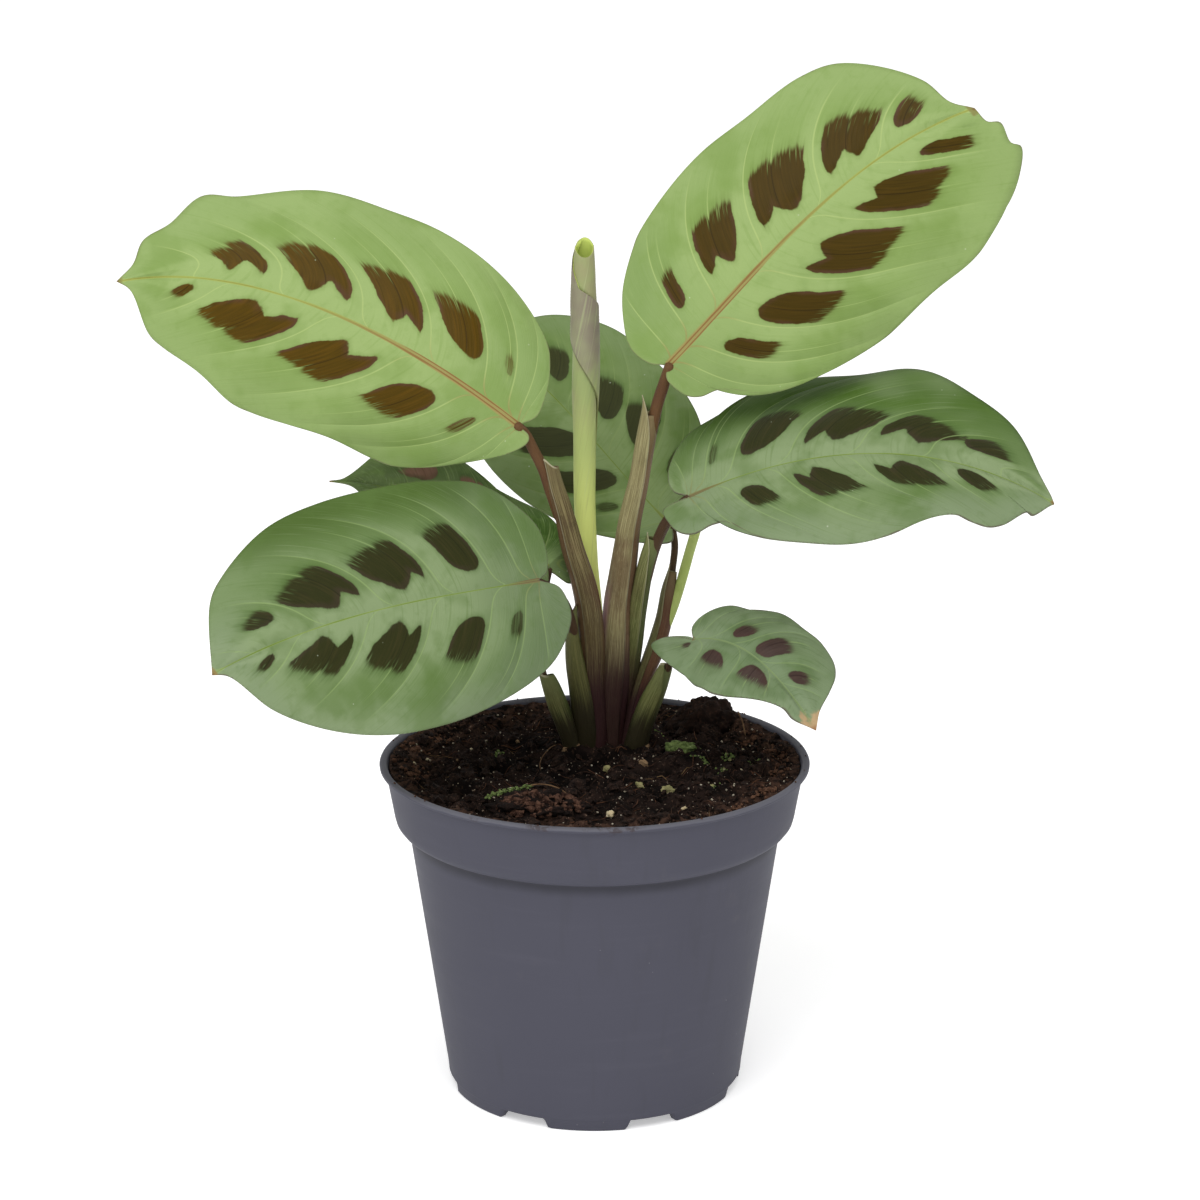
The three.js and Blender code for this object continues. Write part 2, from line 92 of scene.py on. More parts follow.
class Finish:
    """One material and its nodes."""

    def __init__(self, name):
        self.material = bpy.data.materials.new(name)
        self.material.use_nodes = True
        self.tree = self.material.node_tree
        self.tree.nodes.clear()
        self.output = self.tree.nodes.new("ShaderNodeOutputMaterial")

    def node(self, kind, settings=None, inputs=(), out=0):
        """Adds a node. inputs is a list in socket order, or a dict by socket name or number."""
        made = self.tree.nodes.new(kind)
        for name, setting in (settings or {}).items():
            setattr(made, name, setting)
        pairs = inputs.items() if isinstance(inputs, dict) else enumerate(inputs)
        for key, content in pairs:
            if content is None:
                continue
            socket = made.inputs[key]
            if isinstance(content, Value):
                self.tree.links.new(content.socket, socket)
            else:
                socket.default_value = fit_to(socket, content)
        return Value(self, made.outputs[out])

    def place(self):
        return self.node("ShaderNodeTexCoord", out="Object")

    def attribute(self, name):
        """The three parts of a vertex attribute."""
        vector = self.node("ShaderNodeAttribute", {"attribute_name": name}, out="Vector")
        return [self.part(vector, axis) for axis in "XYZ"]

    def part(self, vector, axis):
        return self.node("ShaderNodeSeparateXYZ", None, [vector], out=axis)

    def join(self, x, y, z=0.0):
        return self.node("ShaderNodeCombineXYZ", None, [x, y, z])

    def scaled(self, vector, factors):
        return self.node("ShaderNodeVectorMath", {"operation": "MULTIPLY"}, [vector, factors])

    def noise(self, vector, scale, detail=3.0, roughness=0.55):
        sockets = {"Vector": vector, "Scale": scale, "Detail": detail, "Roughness": roughness}
        return self.node("ShaderNodeTexNoise", None, sockets, out="Fac")

    def cells(self, vector, scale):
        sockets = {"Vector": vector, "Scale": scale, "Randomness": 1.0}
        return self.node("ShaderNodeTexVoronoi", None, sockets, out="Distance")

    def blend(self, first, second, share):
        """first where share is 0 and second where it is 1."""
        settings = {"data_type": "RGBA", "clamp_factor": True}
        return self.node("ShaderNodeMix", settings, {0: share, 6: first, 7: second}, out=2)

    def layers(self, colour, coats, look=()):
        """Lays coats over the colour: each has its tone, or the name of one in the look, and its share."""
        for tone, share in coats:
            colour = self.blend(colour, look[tone] if isinstance(tone, str) else tone, share)
        return colour

    def bump(self, height, distance, strength):
        sockets = {"Strength": strength, "Distance": distance, "Height": height}
        return self.node("ShaderNodeBump", None, sockets)

    def surface(self, base, roughness, normal=None, **constants):
        sockets = {"Base Color": base, "Roughness": roughness, "Normal": normal}
        sockets.update({name.replace("_", " "): content for name, content in constants.items()})
        shader = self.node("ShaderNodeBsdfPrincipled", None, sockets)
        self.tree.links.new(shader.socket, self.output.inputs["Surface"])
        return self.material


def fit_to(socket, content):
    """Gives a colour its alpha where the socket wants four numbers."""
    if hasattr(content, "__len__") and socket.type == "RGBA" and len(content) == 3:
        return (*content, 1.0)
    return content


def shade(red, green, blue, share=0.8):
    """The base colour that looks like this on a screen, 0 to 255. The studio is lit a little over
    white, so that its floor burns out, and share takes that off again."""
    parts = [level / 255 for level in (red, green, blue)]
    return tuple(share * (p / 12.92 if p <= 0.04045 else ((p + 0.055) / 1.055) ** 2.4) for p in parts)


def painted(look):
    """A look's table with its screen colours turned into base colours."""
    return {name: shade(*value) if isinstance(value, tuple) and len(value) == 3 else value
            for name, value in look.items()}


# ---- lines and meshes --------------------------------------------------------------------------
def unit(vectors):
    return vectors / np.maximum(np.linalg.norm(vectors, axis=-1, keepdims=True), 1e-9)


LINE_STEPS = 24  # from one point of a smooth line to the next


def smooth_line(points, places):
    """A smooth line through the points. places is how many leading numbers of a point are its place."""
    points = [np.array(point, float) for point in points]
    points = [2 * points[0] - points[1], *points, 2 * points[-1] - points[-2]]
    line = []
    for before, start, end, after in zip(points, points[1:], points[2:], points[3:]):
        spans = [max(np.linalg.norm((b - a)[:places]) ** 0.5, 1e-3)
                 for a, b in ((before, start), (start, end), (end, after))]
        leave = ((start - before) / spans[0] - (end - before) / (spans[0] + spans[1])) * spans[1]
        leave += end - start
        arrive = ((after - end) / spans[2] - (after - start) / (spans[1] + spans[2])) * spans[1]
        arrive += end - start
        for t in np.arange(LINE_STEPS) / LINE_STEPS:
            line.append((2 * t**3 - 3 * t**2 + 1) * start + (t**3 - 2 * t**2 + t) * leave
                        + (3 * t**2 - 2 * t**3) * end + (t**3 - t**2) * arrive)
    line.append(points[-2])
    return np.array(line)


def lengths_along(line):
    return np.concatenate([[0], np.cumsum(np.linalg.norm(np.diff(line, axis=0), axis=1))])


def pick(line, along, wanted):
    return np.stack([np.interp(wanted, along, column) for column in line.T], axis=-1)


class Route:
    """A smooth centre line with a radius, and a frame that doesn't twist along it."""

    def __init__(self, points):
        line = smooth_line(points, 3)
        self.centre, self.radius = line[:, :3], line[:, 3]
        self.along = lengths_along(self.centre)
        self.length = self.along[-1]
        self.tangent = unit(np.gradient(self.centre, axis=0))
        side = np.cross(self.tangent[0], (0, 1, 0))
        sides = []
        for tangent in self.tangent:
            side = unit(side - tangent * side.dot(tangent))
            sides.append(side)
        self.side = np.array(sides)

    def at(self, share):
        """Centre, radius and the two side directions at a share of the length."""
        wanted = np.asarray(share) * self.length
        centre = pick(self.centre, self.along, wanted)
        tangent = unit(pick(self.tangent, self.along, wanted))
        side = pick(self.side, self.along, wanted)
        side = unit(side - tangent * (side * tangent).sum(-1, keepdims=True))
        return centre, np.interp(wanted, self.along, self.radius), side, np.cross(tangent, side)


def way_out(side, other, angle):
    """The direction at an angle round a centre line."""
    return side * np.cos(angle)[:, None] + other * np.sin(angle)[:, None]


def sheet(rows, columns):
    """A new bmesh with one flat grid, and the two coordinates of its vertices from 0 to 1."""
    mesh = bmesh.new()
    bmesh.ops.create_grid(mesh, x_segments=rows, y_segments=columns, size=0.5)
    flat = np.array([vertex.co[:2] for vertex in mesh.verts]) + 0.5
    return mesh, flat[:, 0], flat[:, 1]


def lay(mesh, places):
    """Moves every vertex to its place, in millimetres around the pot's axis."""
    for vertex, place in zip(mesh.verts, (np.array(places) * MM + POT_AXIS).tolist()):
        vertex.co = place


def write(mesh, name, values):
    """Stores three numbers on each vertex."""
    layer = mesh.verts.layers.float_vector.new(name)
    for vertex, value in zip(mesh.verts, np.stack(values, axis=-1).tolist()):
        vertex[layer] = value


def thicken(mesh, places):
    """Gives a sheet its other side, with one place in mm for each vertex, and a wall round its edge.
    Returns the new vertices, each with the number of the one that it comes from."""
    mesh.verts.index_update()
    number = mesh.verts.layers.int.new("number")
    for vertex in mesh.verts:
        vertex[number] = vertex.index
    made = bmesh.ops.extrude_face_region(mesh, geom=mesh.faces[:], use_keep_orig=True)["geom"]
    copies = [(part, part[number]) for part in made if isinstance(part, bmesh.types.BMVert)]
    for vertex, source in copies:
        vertex.co = Vector(places[source]) * MM + POT_AXIS
    return copies


def finished(name, mesh, materials, replaced=(), smooth=True, merge=1e-6):
    """Turns a bmesh into a piece that rides on the plant. Vertices that are nearer to one another than
    merge, in metres, become one."""
    if merge:
        bmesh.ops.remove_doubles(mesh, verts=mesh.verts, dist=merge)
        bmesh.ops.recalc_face_normals(mesh, faces=mesh.faces)
    number = mesh.verts.layers.int.get("number")
    if number:
        mesh.verts.layers.int.remove(number)
    data = bpy.data.meshes.new(name)
    mesh.to_mesh(data)
    mesh.free()
    for material in materials:
        data.materials.append(material)
    data.polygons.foreach_set("use_smooth", [smooth] * len(data.polygons))
    piece = bpy.data.objects.new(name, data)
    bpy.context.scene.collection.objects.link(piece)
    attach(piece, "root")
    if replaced:
        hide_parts(*replaced)


def wobble(x, y, z=0.0):
    return noise.noise(Vector((x, y, z)))


# ---- camera, light and floor -------------------------------------------------------------------
CAMERA_DISTANCE = 1.0
CAMERA_TILT = math.radians(15.82)
AIM = Vector((1.5, 0, 140.5)) * MM + POT_AXIS
FOCAL_LENGTH = 108.78
SENSOR_WIDTH = 36


def camera():
    lens = bpy.data.cameras.new("camera")
    lens.lens = FOCAL_LENGTH
    lens.sensor_width = SENSOR_WIDTH
    lens.clip_start = 0.01
    seen = bpy.data.objects.new("camera", lens)
    away = Vector((0, -math.cos(CAMERA_TILT), math.sin(CAMERA_TILT)))
    seen.location = AIM + away * CAMERA_DISTANCE
    seen.rotation_euler = (math.radians(90) - CAMERA_TILT, 0, 0)
    bpy.context.scene.collection.objects.link(seen)
    bpy.context.scene.camera = seen


def softbox(name, place, width, power):
    light = bpy.data.lights.new(name, "AREA")
    light.shape = "DISK"
    light.size = width
    light.energy = power
    lamp = bpy.data.objects.new(name, light)
    lamp.location = place
    lamp.rotation_euler = (AIM - Vector(place)).to_track_quat("-Z", "Y").to_euler()
    bpy.context.scene.collection.objects.link(lamp)


def studio():
    """A white sweep under soft light. The floor glows a little, as on a light table."""
    world = bpy.data.worlds.new("studio")
    world.use_nodes = True
    backdrop = world.node_tree.nodes["Background"]
    backdrop.inputs["Color"].default_value = (1.0, 1.0, 1.0, 1.0)
    backdrop.inputs["Strength"].default_value = 0.7
    bpy.context.scene.world = world
    bpy.context.scene.view_settings.view_transform = "Standard"
    softbox("softbox_above", (-0.2, -0.8, 1.35), 1.2, 12)
    softbox("softbox_left", (-1.2, -1.1, 0.9), 1.2, 1.6)

    mesh = bmesh.new()
    bmesh.ops.create_grid(mesh, x_segments=1, y_segments=1, size=12)
    data = bpy.data.meshes.new("studio_floor")
    mesh.to_mesh(data)
    mesh.free()
    finish = Finish("pale_paper")
    grain = finish.noise(finish.place(), 40.0)
    finish.surface(finish.blend(shade(246, 246, 246, 1), shade(250, 250, 250, 1), grain), 0.95,
                   Emission_Color=(1.0, 1.0, 1.0), Emission_Strength=0.4)
    data.materials.append(finish.material)
    floor = bpy.data.objects.new("studio_floor", data)
    bpy.context.scene.collection.objects.link(floor)


# ---- leaf finishes -----------------------------------------------------------------------------
def blade_finish(name, look):
    """The upper side of a leaf. look holds its colours.

    Attributes: "grid" runs along the margin (x), across the half (y) and from vein to vein (z,
    whole on a vein); "edges" is mm from the midrib (x), mm from one vein to the next (y) and mm from
    the margin (z); "blotch" is the depth in mm inside a blotch's sides (x) and its frayed end (y),
    and mm from its middle vein (z); "half" is mm to the left of the midrib (x), along it (y) and
    from the tip (z).
    """
    finish, look = Finish(name), painted(look)
    row, across, vein_number = finish.attribute("grid")
    from_midrib, spacing, from_margin = finish.attribute("edges")
    inside, before_end, from_seam = finish.attribute("blotch")
    sideways, forward, from_tip = finish.attribute("half")
    from_vein, phase = vein_distance(vein_number, spacing)

    # Fine parallel veins run out from the midrib with the rows.
    streaks = finish.noise(finish.join(row * 150.0, across * 2.2), 1.0, 2.0)
    threads = finish.noise(finish.join(row * 330.0, across * 3.2, 4.0), 1.0, 1.0)
    mottle = finish.noise(finish.place(), 60.0, 3.0)
    patches = finish.noise(finish.place(), 26.0, 2.0)
    freckle = finish.noise(finish.place(), 330.0, 3.0)

    # Pale fishbone: along the midrib, and out along the basal side of each vein.
    bone = from_midrib + (patches - 0.5) * 7.0 + (streaks - 0.5) * 3.0
    bone = bone.rise(look["bone"], look["bone"] * 0.25)
    arm = phase.rise(look["arm_start"], 0.9) * across.rise(look["arm_end"], 0.3) * row.rise(0.1, 0.45)
    close = from_vein.rise(1.6, 0.3) * across.rise(0.9, 0.5) * 0.5
    pale = bone.most(arm * look["arms"]).most(close) + (mottle - 0.5) * 0.5 + (streaks - 0.5) * 0.3
    colour = finish.blend(look["green"], look["pale"], pale.rise(0.0, 1.0))

    # Deeper green past the blotches, and a painted greyish sheen towards the margin on the side that faces
    # the light.
    deep = across.rise(0.36, 0.55) * across.rise(0.97, 0.7) * phase.rise(0.98, 0.7)
    colour = finish.blend(colour, look["deep"], deep * look["deep_share"] * (mottle * 0.9 + patches * 0.5))
    lit = sideways.rise(*look["sheen_side"])
    sheen = (from_margin + (mottle - 0.5) * 9.0).rise(13.0, 2.0) * lit
    colour = finish.blend(colour, look["sheen"], sheen * look["sheen_share"])
    # Painted shade over one side of some blades, where it turns from the light or lies in another leaf's
    # shadow.
    shadow = (sideways + (patches - 0.5) * 10.0).rise(*look["shadow_side"])
    colour = finish.blend(colour, look["shadow_green"], shadow * look["shadow_share"])
    # Another tone towards the base; on the back left leaf this is painted shadow from the leaves in front.
    near = (forward + (patches - 0.5) * 16.0).rise(look["base_reach"], look["base_reach"] * 0.3)
    colour = finish.layers(colour, [
        ("base_tone_and_shade", near * look["base_share"]),
        ("deep", streaks.rise(0.5, 0.75) * 0.35),
        ("pale", threads.rise(0.54, 0.78) * 0.3),
        ("pale", patches.rise(0.5, 0.66) * 0.4),
        ("deep", mottle.rise(0.5, 0.66) * 0.5),
        ("deep", freckle.rise(0.5, 0.8) * 0.3),
    ], look)

    # Dark blotches: crisp sides, and an end that frays along the fine veins.
    fray = (streaks - 0.5) * look["fray"] + (threads - 0.5) * look["fray"] * 0.6
    side = inside + (freckle - 0.5) * 1.1 + (mottle - 0.5) * 1.6
    notch = threads.rise(0.55, 0.72) * before_end.rise(look["fray"] * 1.3, 0.6)
    spot = side.rise(-0.15, 0.25) * (before_end + fray).rise(-1.4, 0.9) * (1 - notch * 0.75)
    smudge = side.rise(-1.2, 0.6) * (before_end + fray * 1.6).rise(-4.5, 0.5)
    stain = finish.blend(look["blotch"], look["blotch_light"], streaks.rise(0.42, 0.72) * 0.45)
    stain = finish.blend(stain, look["blotch_dark"], threads.rise(0.5, 0.7) * 0.35)
    stain = finish.blend(stain, look["blotch_edge"], side.rise(1.8, 0.2) * mottle.rise(0.4, 0.6) * 0.7)
    seam = from_seam.size().rise(0.3, 0.06) * across.rise(0.12, 0.25)
    colour = finish.blend(colour, look["smudge"], smudge * 0.5)
    colour = finish.blend(colour, stain, spot)
    colour = finish.blend(colour, look["blotch_dark"], seam * spot * 0.7)

    # Veins, the midrib and the thin margin.
    fine_vein = seam * (1 - spot) * before_end.rise(0.5, -0.5) * across.rise(0.85, 0.5)
    colour = finish.blend(colour, look["vein"], fine_vein * 0.5)
    vein = from_vein.rise(0.34, 0.08) * across.rise(0.97, 0.6)
    colour = finish.blend(colour, look["vein"], vein * look["vein_share"])
    near_base = forward.rise(look["red_reach"], 0.0)
    red_vein = from_vein.rise(0.45, 0.1) * from_midrib.rise(8.0, 1.0) * near_base
    colour = finish.blend(colour, look["midrib"], red_vein * look["red_veins"])
    width = look["rib_width"] * (forward.rise(look["rib_reach"], 0.0) * 0.75 + 0.45)
    strand = finish.noise(finish.join(sideways * 2.4, forward * 0.045, 2.0), 1.0, 2.0)
    rib = (from_midrib + (strand - 0.5) * 0.5) / width + forward.rise(0.0, -1.5) * 9.0
    colour = finish.layers(colour, [
        ("midrib_tip", rib.rise(1.25, 0.75) * 0.8),
        ("rib_line", rib.rise(0.55, 0.25) * 0.75),
    ], look)
    red = forward.rise(look["rib_reach"], look["rib_reach"] * 0.3)
    colour = finish.blend(colour, look["midrib_core"], rib.rise(1.3, 0.9) * red * 0.9)
    bundle = (sideways * (4.6 / look["rib_width"]) + (strand - 0.5) * 5.0).sine().rise(-0.1, 0.6)
    colour = finish.layers(colour, [
        ("midrib", bundle * rib.rise(1.35, 1.0) * red * 0.85),
        ("margin", from_margin.rise(0.42, 0.1) * look["margin_share"]),
    ], look)

    # Dry tip and a few scars.
    ragged = (mottle - 0.5) * 6.0 + (freckle - 0.5) * 12.0
    tip = (from_tip + ragged * (look["tip"] * 0.2)).rise(look["tip"], look["tip"] * 0.5)
    colour = finish.blend(colour, look["dry"], tip * look["dry_share"])
    point = (from_tip + (freckle - 0.5) * 2.0).rise(look["tip"] * 0.4, look["tip"] * 0.1)
    colour = finish.blend(colour, look["dry_point"], point * look["dry_share"] * 0.8)
    speck = finish.cells(finish.place(), 190.0).rise(0.06, 0.03) * patches.rise(0.52, 0.6)
    colour = finish.blend(colour, look["speck"], speck * 0.7)

    height = streaks * 0.5 + threads * 0.35 + freckle * 0.3
    normal = finish.bump(height, 0.00022, 0.6)
    roughness = 0.5 + (mottle - 0.5) * 0.16 - spot * 0.04
    return finish.surface(colour, roughness, normal, Specular_IOR_Level=look["gloss"])


def vein_distance(vein_number, spacing):
    """Mm from the nearest vein, and the phase from one vein (0) to the next one (1)."""
    phase = vein_number.fraction()
    return phase.least(1 - phase) * spacing, phase


def underside_finish(name, look):
    finish, look = Finish(name), painted(look)
    row, across, vein_number = finish.attribute("grid")
    from_midrib, spacing, from_margin = finish.attribute("edges")
    inside, before_end, _ = finish.attribute("blotch")
    from_vein, phase = vein_distance(vein_number, spacing)
    streaks = finish.noise(finish.join(row * 140.0, across * 2.5, 9.0), 1.0, 2.0)
    mottle = finish.noise(finish.place(), 70.0)
    cloudy = finish.noise(finish.place(), 18.0, 2.0)
    colour = finish.blend(look["under"], look["under_pale"], cloudy.rise(0.35, 0.7))
    flush = (phase.least(1 - phase) * 2.0 + mottle * 0.4).rise(0.3, 1.0)
    colour = finish.layers(colour, [
        ("under_flush", flush * 0.45),
        ("under_pale", streaks.rise(0.5, 0.75) * 0.35),
    ], look)
    spot = inside.rise(-0.6, 0.8) * (before_end + (streaks - 0.5) * 5.0).rise(-1.5, 1.0)
    colour = finish.blend(colour, look["under_blotch"], spot * 0.55)
    vein = from_vein.rise(0.7, 0.2) * across.rise(0.98, 0.75)
    colour = finish.layers(colour, [
        ("under_vein", vein * 0.7),
        ("under_rib", from_midrib.rise(2.0, 1.0)),
        ("margin", from_margin.rise(0.6, 0.15) * 0.6),
    ], look)
    normal = finish.bump(streaks * 0.6 + mottle * 0.3 + vein * 0.8, 0.0002, 0.5)
    roughness = 0.6 + (mottle - 0.5) * 0.15
    return finish.surface(colour, roughness, normal, Specular_IOR_Level=0.1)


BRIGHT_LOOK = {
    "green": (151, 175, 107), "pale": (158, 181, 113), "deep": (128, 156, 80),
    "shadow_green": (128, 156, 84), "sheen": (148, 172, 106), "blotch": (82, 62, 4),
    "blotch_light": (106, 76, 12), "blotch_dark": (52, 38, 2),
    "blotch_edge": (92, 62, 50), "smudge": (116, 140, 70), "vein": (178, 198, 124),
    "midrib": (138, 98, 56), "midrib_core": (160, 148, 92), "midrib_tip": (166, 176, 88),
    "rib_line": (150, 150, 74), "margin": (128, 128, 92), "dry": (140, 136, 80),
    "dry_point": (128, 96, 60),
    "speck": (196, 208, 170), "under": (136, 158, 112), "under_pale": (160, 178, 136),
    "under_flush": (132, 116, 108), "under_blotch": (96, 84, 66),
    "under_vein": (178, 192, 140), "under_rib": (140, 112, 78),
    "bone": 14.0, "arms": 0.7, "arm_start": 0.25, "arm_end": 0.8, "deep_share": 0.8,
    "sheen_side": (-60.0, -50.0), "sheen_share": 0.5, "shadow_side": (50.0, 60.0), "shadow_share": 0.0,
    "base_tone_and_shade": (124, 150, 86), "base_reach": 34.0, "base_share": 0.5,
    "fray": 3.6, "vein_share": 0.6, "red_reach": 60.0, "red_veins": 0.5, "rib_reach": 78.0,
    "rib_width": 0.72, "margin_share": 0.7, "tip": 2.2, "dry_share": 0.9, "gloss": 0.09,
}
DARK_LOOK = {
    **BRIGHT_LOOK,
    "green": (122, 144, 95), "pale": (141, 160, 115), "deep": (94, 121, 60),
    "shadow_green": (74, 100, 34), "sheen": (137, 154, 119), "blotch": (48, 50, 18),
    "blotch_light": (66, 60, 30), "blotch_dark": (36, 38, 14),
    "blotch_edge": (64, 54, 40), "smudge": (70, 96, 42), "vein": (152, 176, 112),
    "midrib": (118, 92, 68), "midrib_core": (128, 122, 80), "midrib_tip": (142, 162, 88),
    "rib_line": (104, 130, 46), "margin": (104, 96, 82), "dry": (150, 126, 76),
    "speck": (186, 196, 170), "under": (112, 134, 96), "under_pale": (140, 158, 124),
    "under_flush": (112, 92, 90), "under_blotch": (74, 62, 54),
    "bone": 11.0, "arms": 0.75, "arm_start": 0.3, "arm_end": 0.75, "deep_share": 0.75,
    "sheen_share": 0.7, "fray": 3.0, "vein_share": 0.5, "red_reach": 10.0, "red_veins": 0.4,
    "base_tone_and_shade": (98, 118, 80), "base_reach": 30.0, "base_share": 0.5,
    "rib_reach": 13.0, "rib_width": 0.44, "margin_share": 0.8, "tip": 1.8, "gloss": 0.11,
}
# On the middle right and the lower left leaf one side is painted with shade and the other with a sheen.
MIDDLE_LOOK = {
    **DARK_LOOK, "shadow_side": (5.0, 26.0), "shadow_share": 0.95, "shadow_green": (70, 102, 22),
    "sheen_side": (4.0, -6.0), "base_share": 0.1,
}
LOWER_LOOK = {**DARK_LOOK, "shadow_side": (-19.0, -31.0), "shadow_share": 0.85, "sheen_side": (-18.0, -4.0)}
RIGHT_LOOK = {
    **BRIGHT_LOOK, "blotch": (70, 54, 6), "blotch_light": (86, 64, 14), "blotch_dark": (48, 36, 4),
}
BACK_LOOK = {
    **DARK_LOOK,
    "green": (121, 146, 83), "pale": (141, 163, 106), "deep": (98, 128, 54),
    "blotch": (58, 62, 26), "blotch_light": (70, 74, 38), "blotch_dark": (46, 50, 20),
    "blotch_edge": (66, 70, 36), "vein": (148, 168, 104), "sheen_share": 0.3,
    "fray": 1.4, "base_share": 0.0, "midrib": (128, 142, 72), "midrib_core": (138, 150, 82),
}
# The back left leaf lies under the upper left and the lower left leaf: its greens are painted lighter than
# its own colour, as painted light, and most of it is then painted with shade, darkest near its base.
BACK_LEFT_LOOK = {
    **BACK_LOOK, "green": (172, 196, 130), "pale": (184, 204, 148), "deep": (140, 172, 94),
    "base_tone_and_shade": (64, 96, 30), "base_reach": 22.0, "base_share": 0.9,
    "shadow_side": (-60.0, -50.0), "shadow_share": 0.75, "shadow_green": (70, 96, 34),
    "margin": (104, 112, 72), "blotch": (140, 104, 84), "blotch_light": (156, 122, 98),
    "blotch_dark": (118, 84, 66), "under": (104, 128, 66),
}
SMALL_LOOK = {
    **DARK_LOOK,
    "green": (104, 128, 80), "pale": (122, 142, 104), "deep": (82, 108, 56),
    "blotch": (70, 54, 48), "blotch_light": (86, 68, 60), "blotch_dark": (52, 36, 32),
    "blotch_edge": (78, 56, 50), "dry": (196, 164, 124), "bone": 7.0, "arms": 0.6,
    "smudge": (94, 112, 72), "base_share": 0.0,
    "tip": 5.2, "fray": 1.6, "rib_reach": 1.0, "rib_width": 0.6, "vein_share": 0.3,
    "dry_point": (158, 108, 70), "rib_line": (126, 146, 96),
    "midrib_tip": (134, 154, 106), "midrib": (134, 150, 108), "red_veins": 0.0,
}


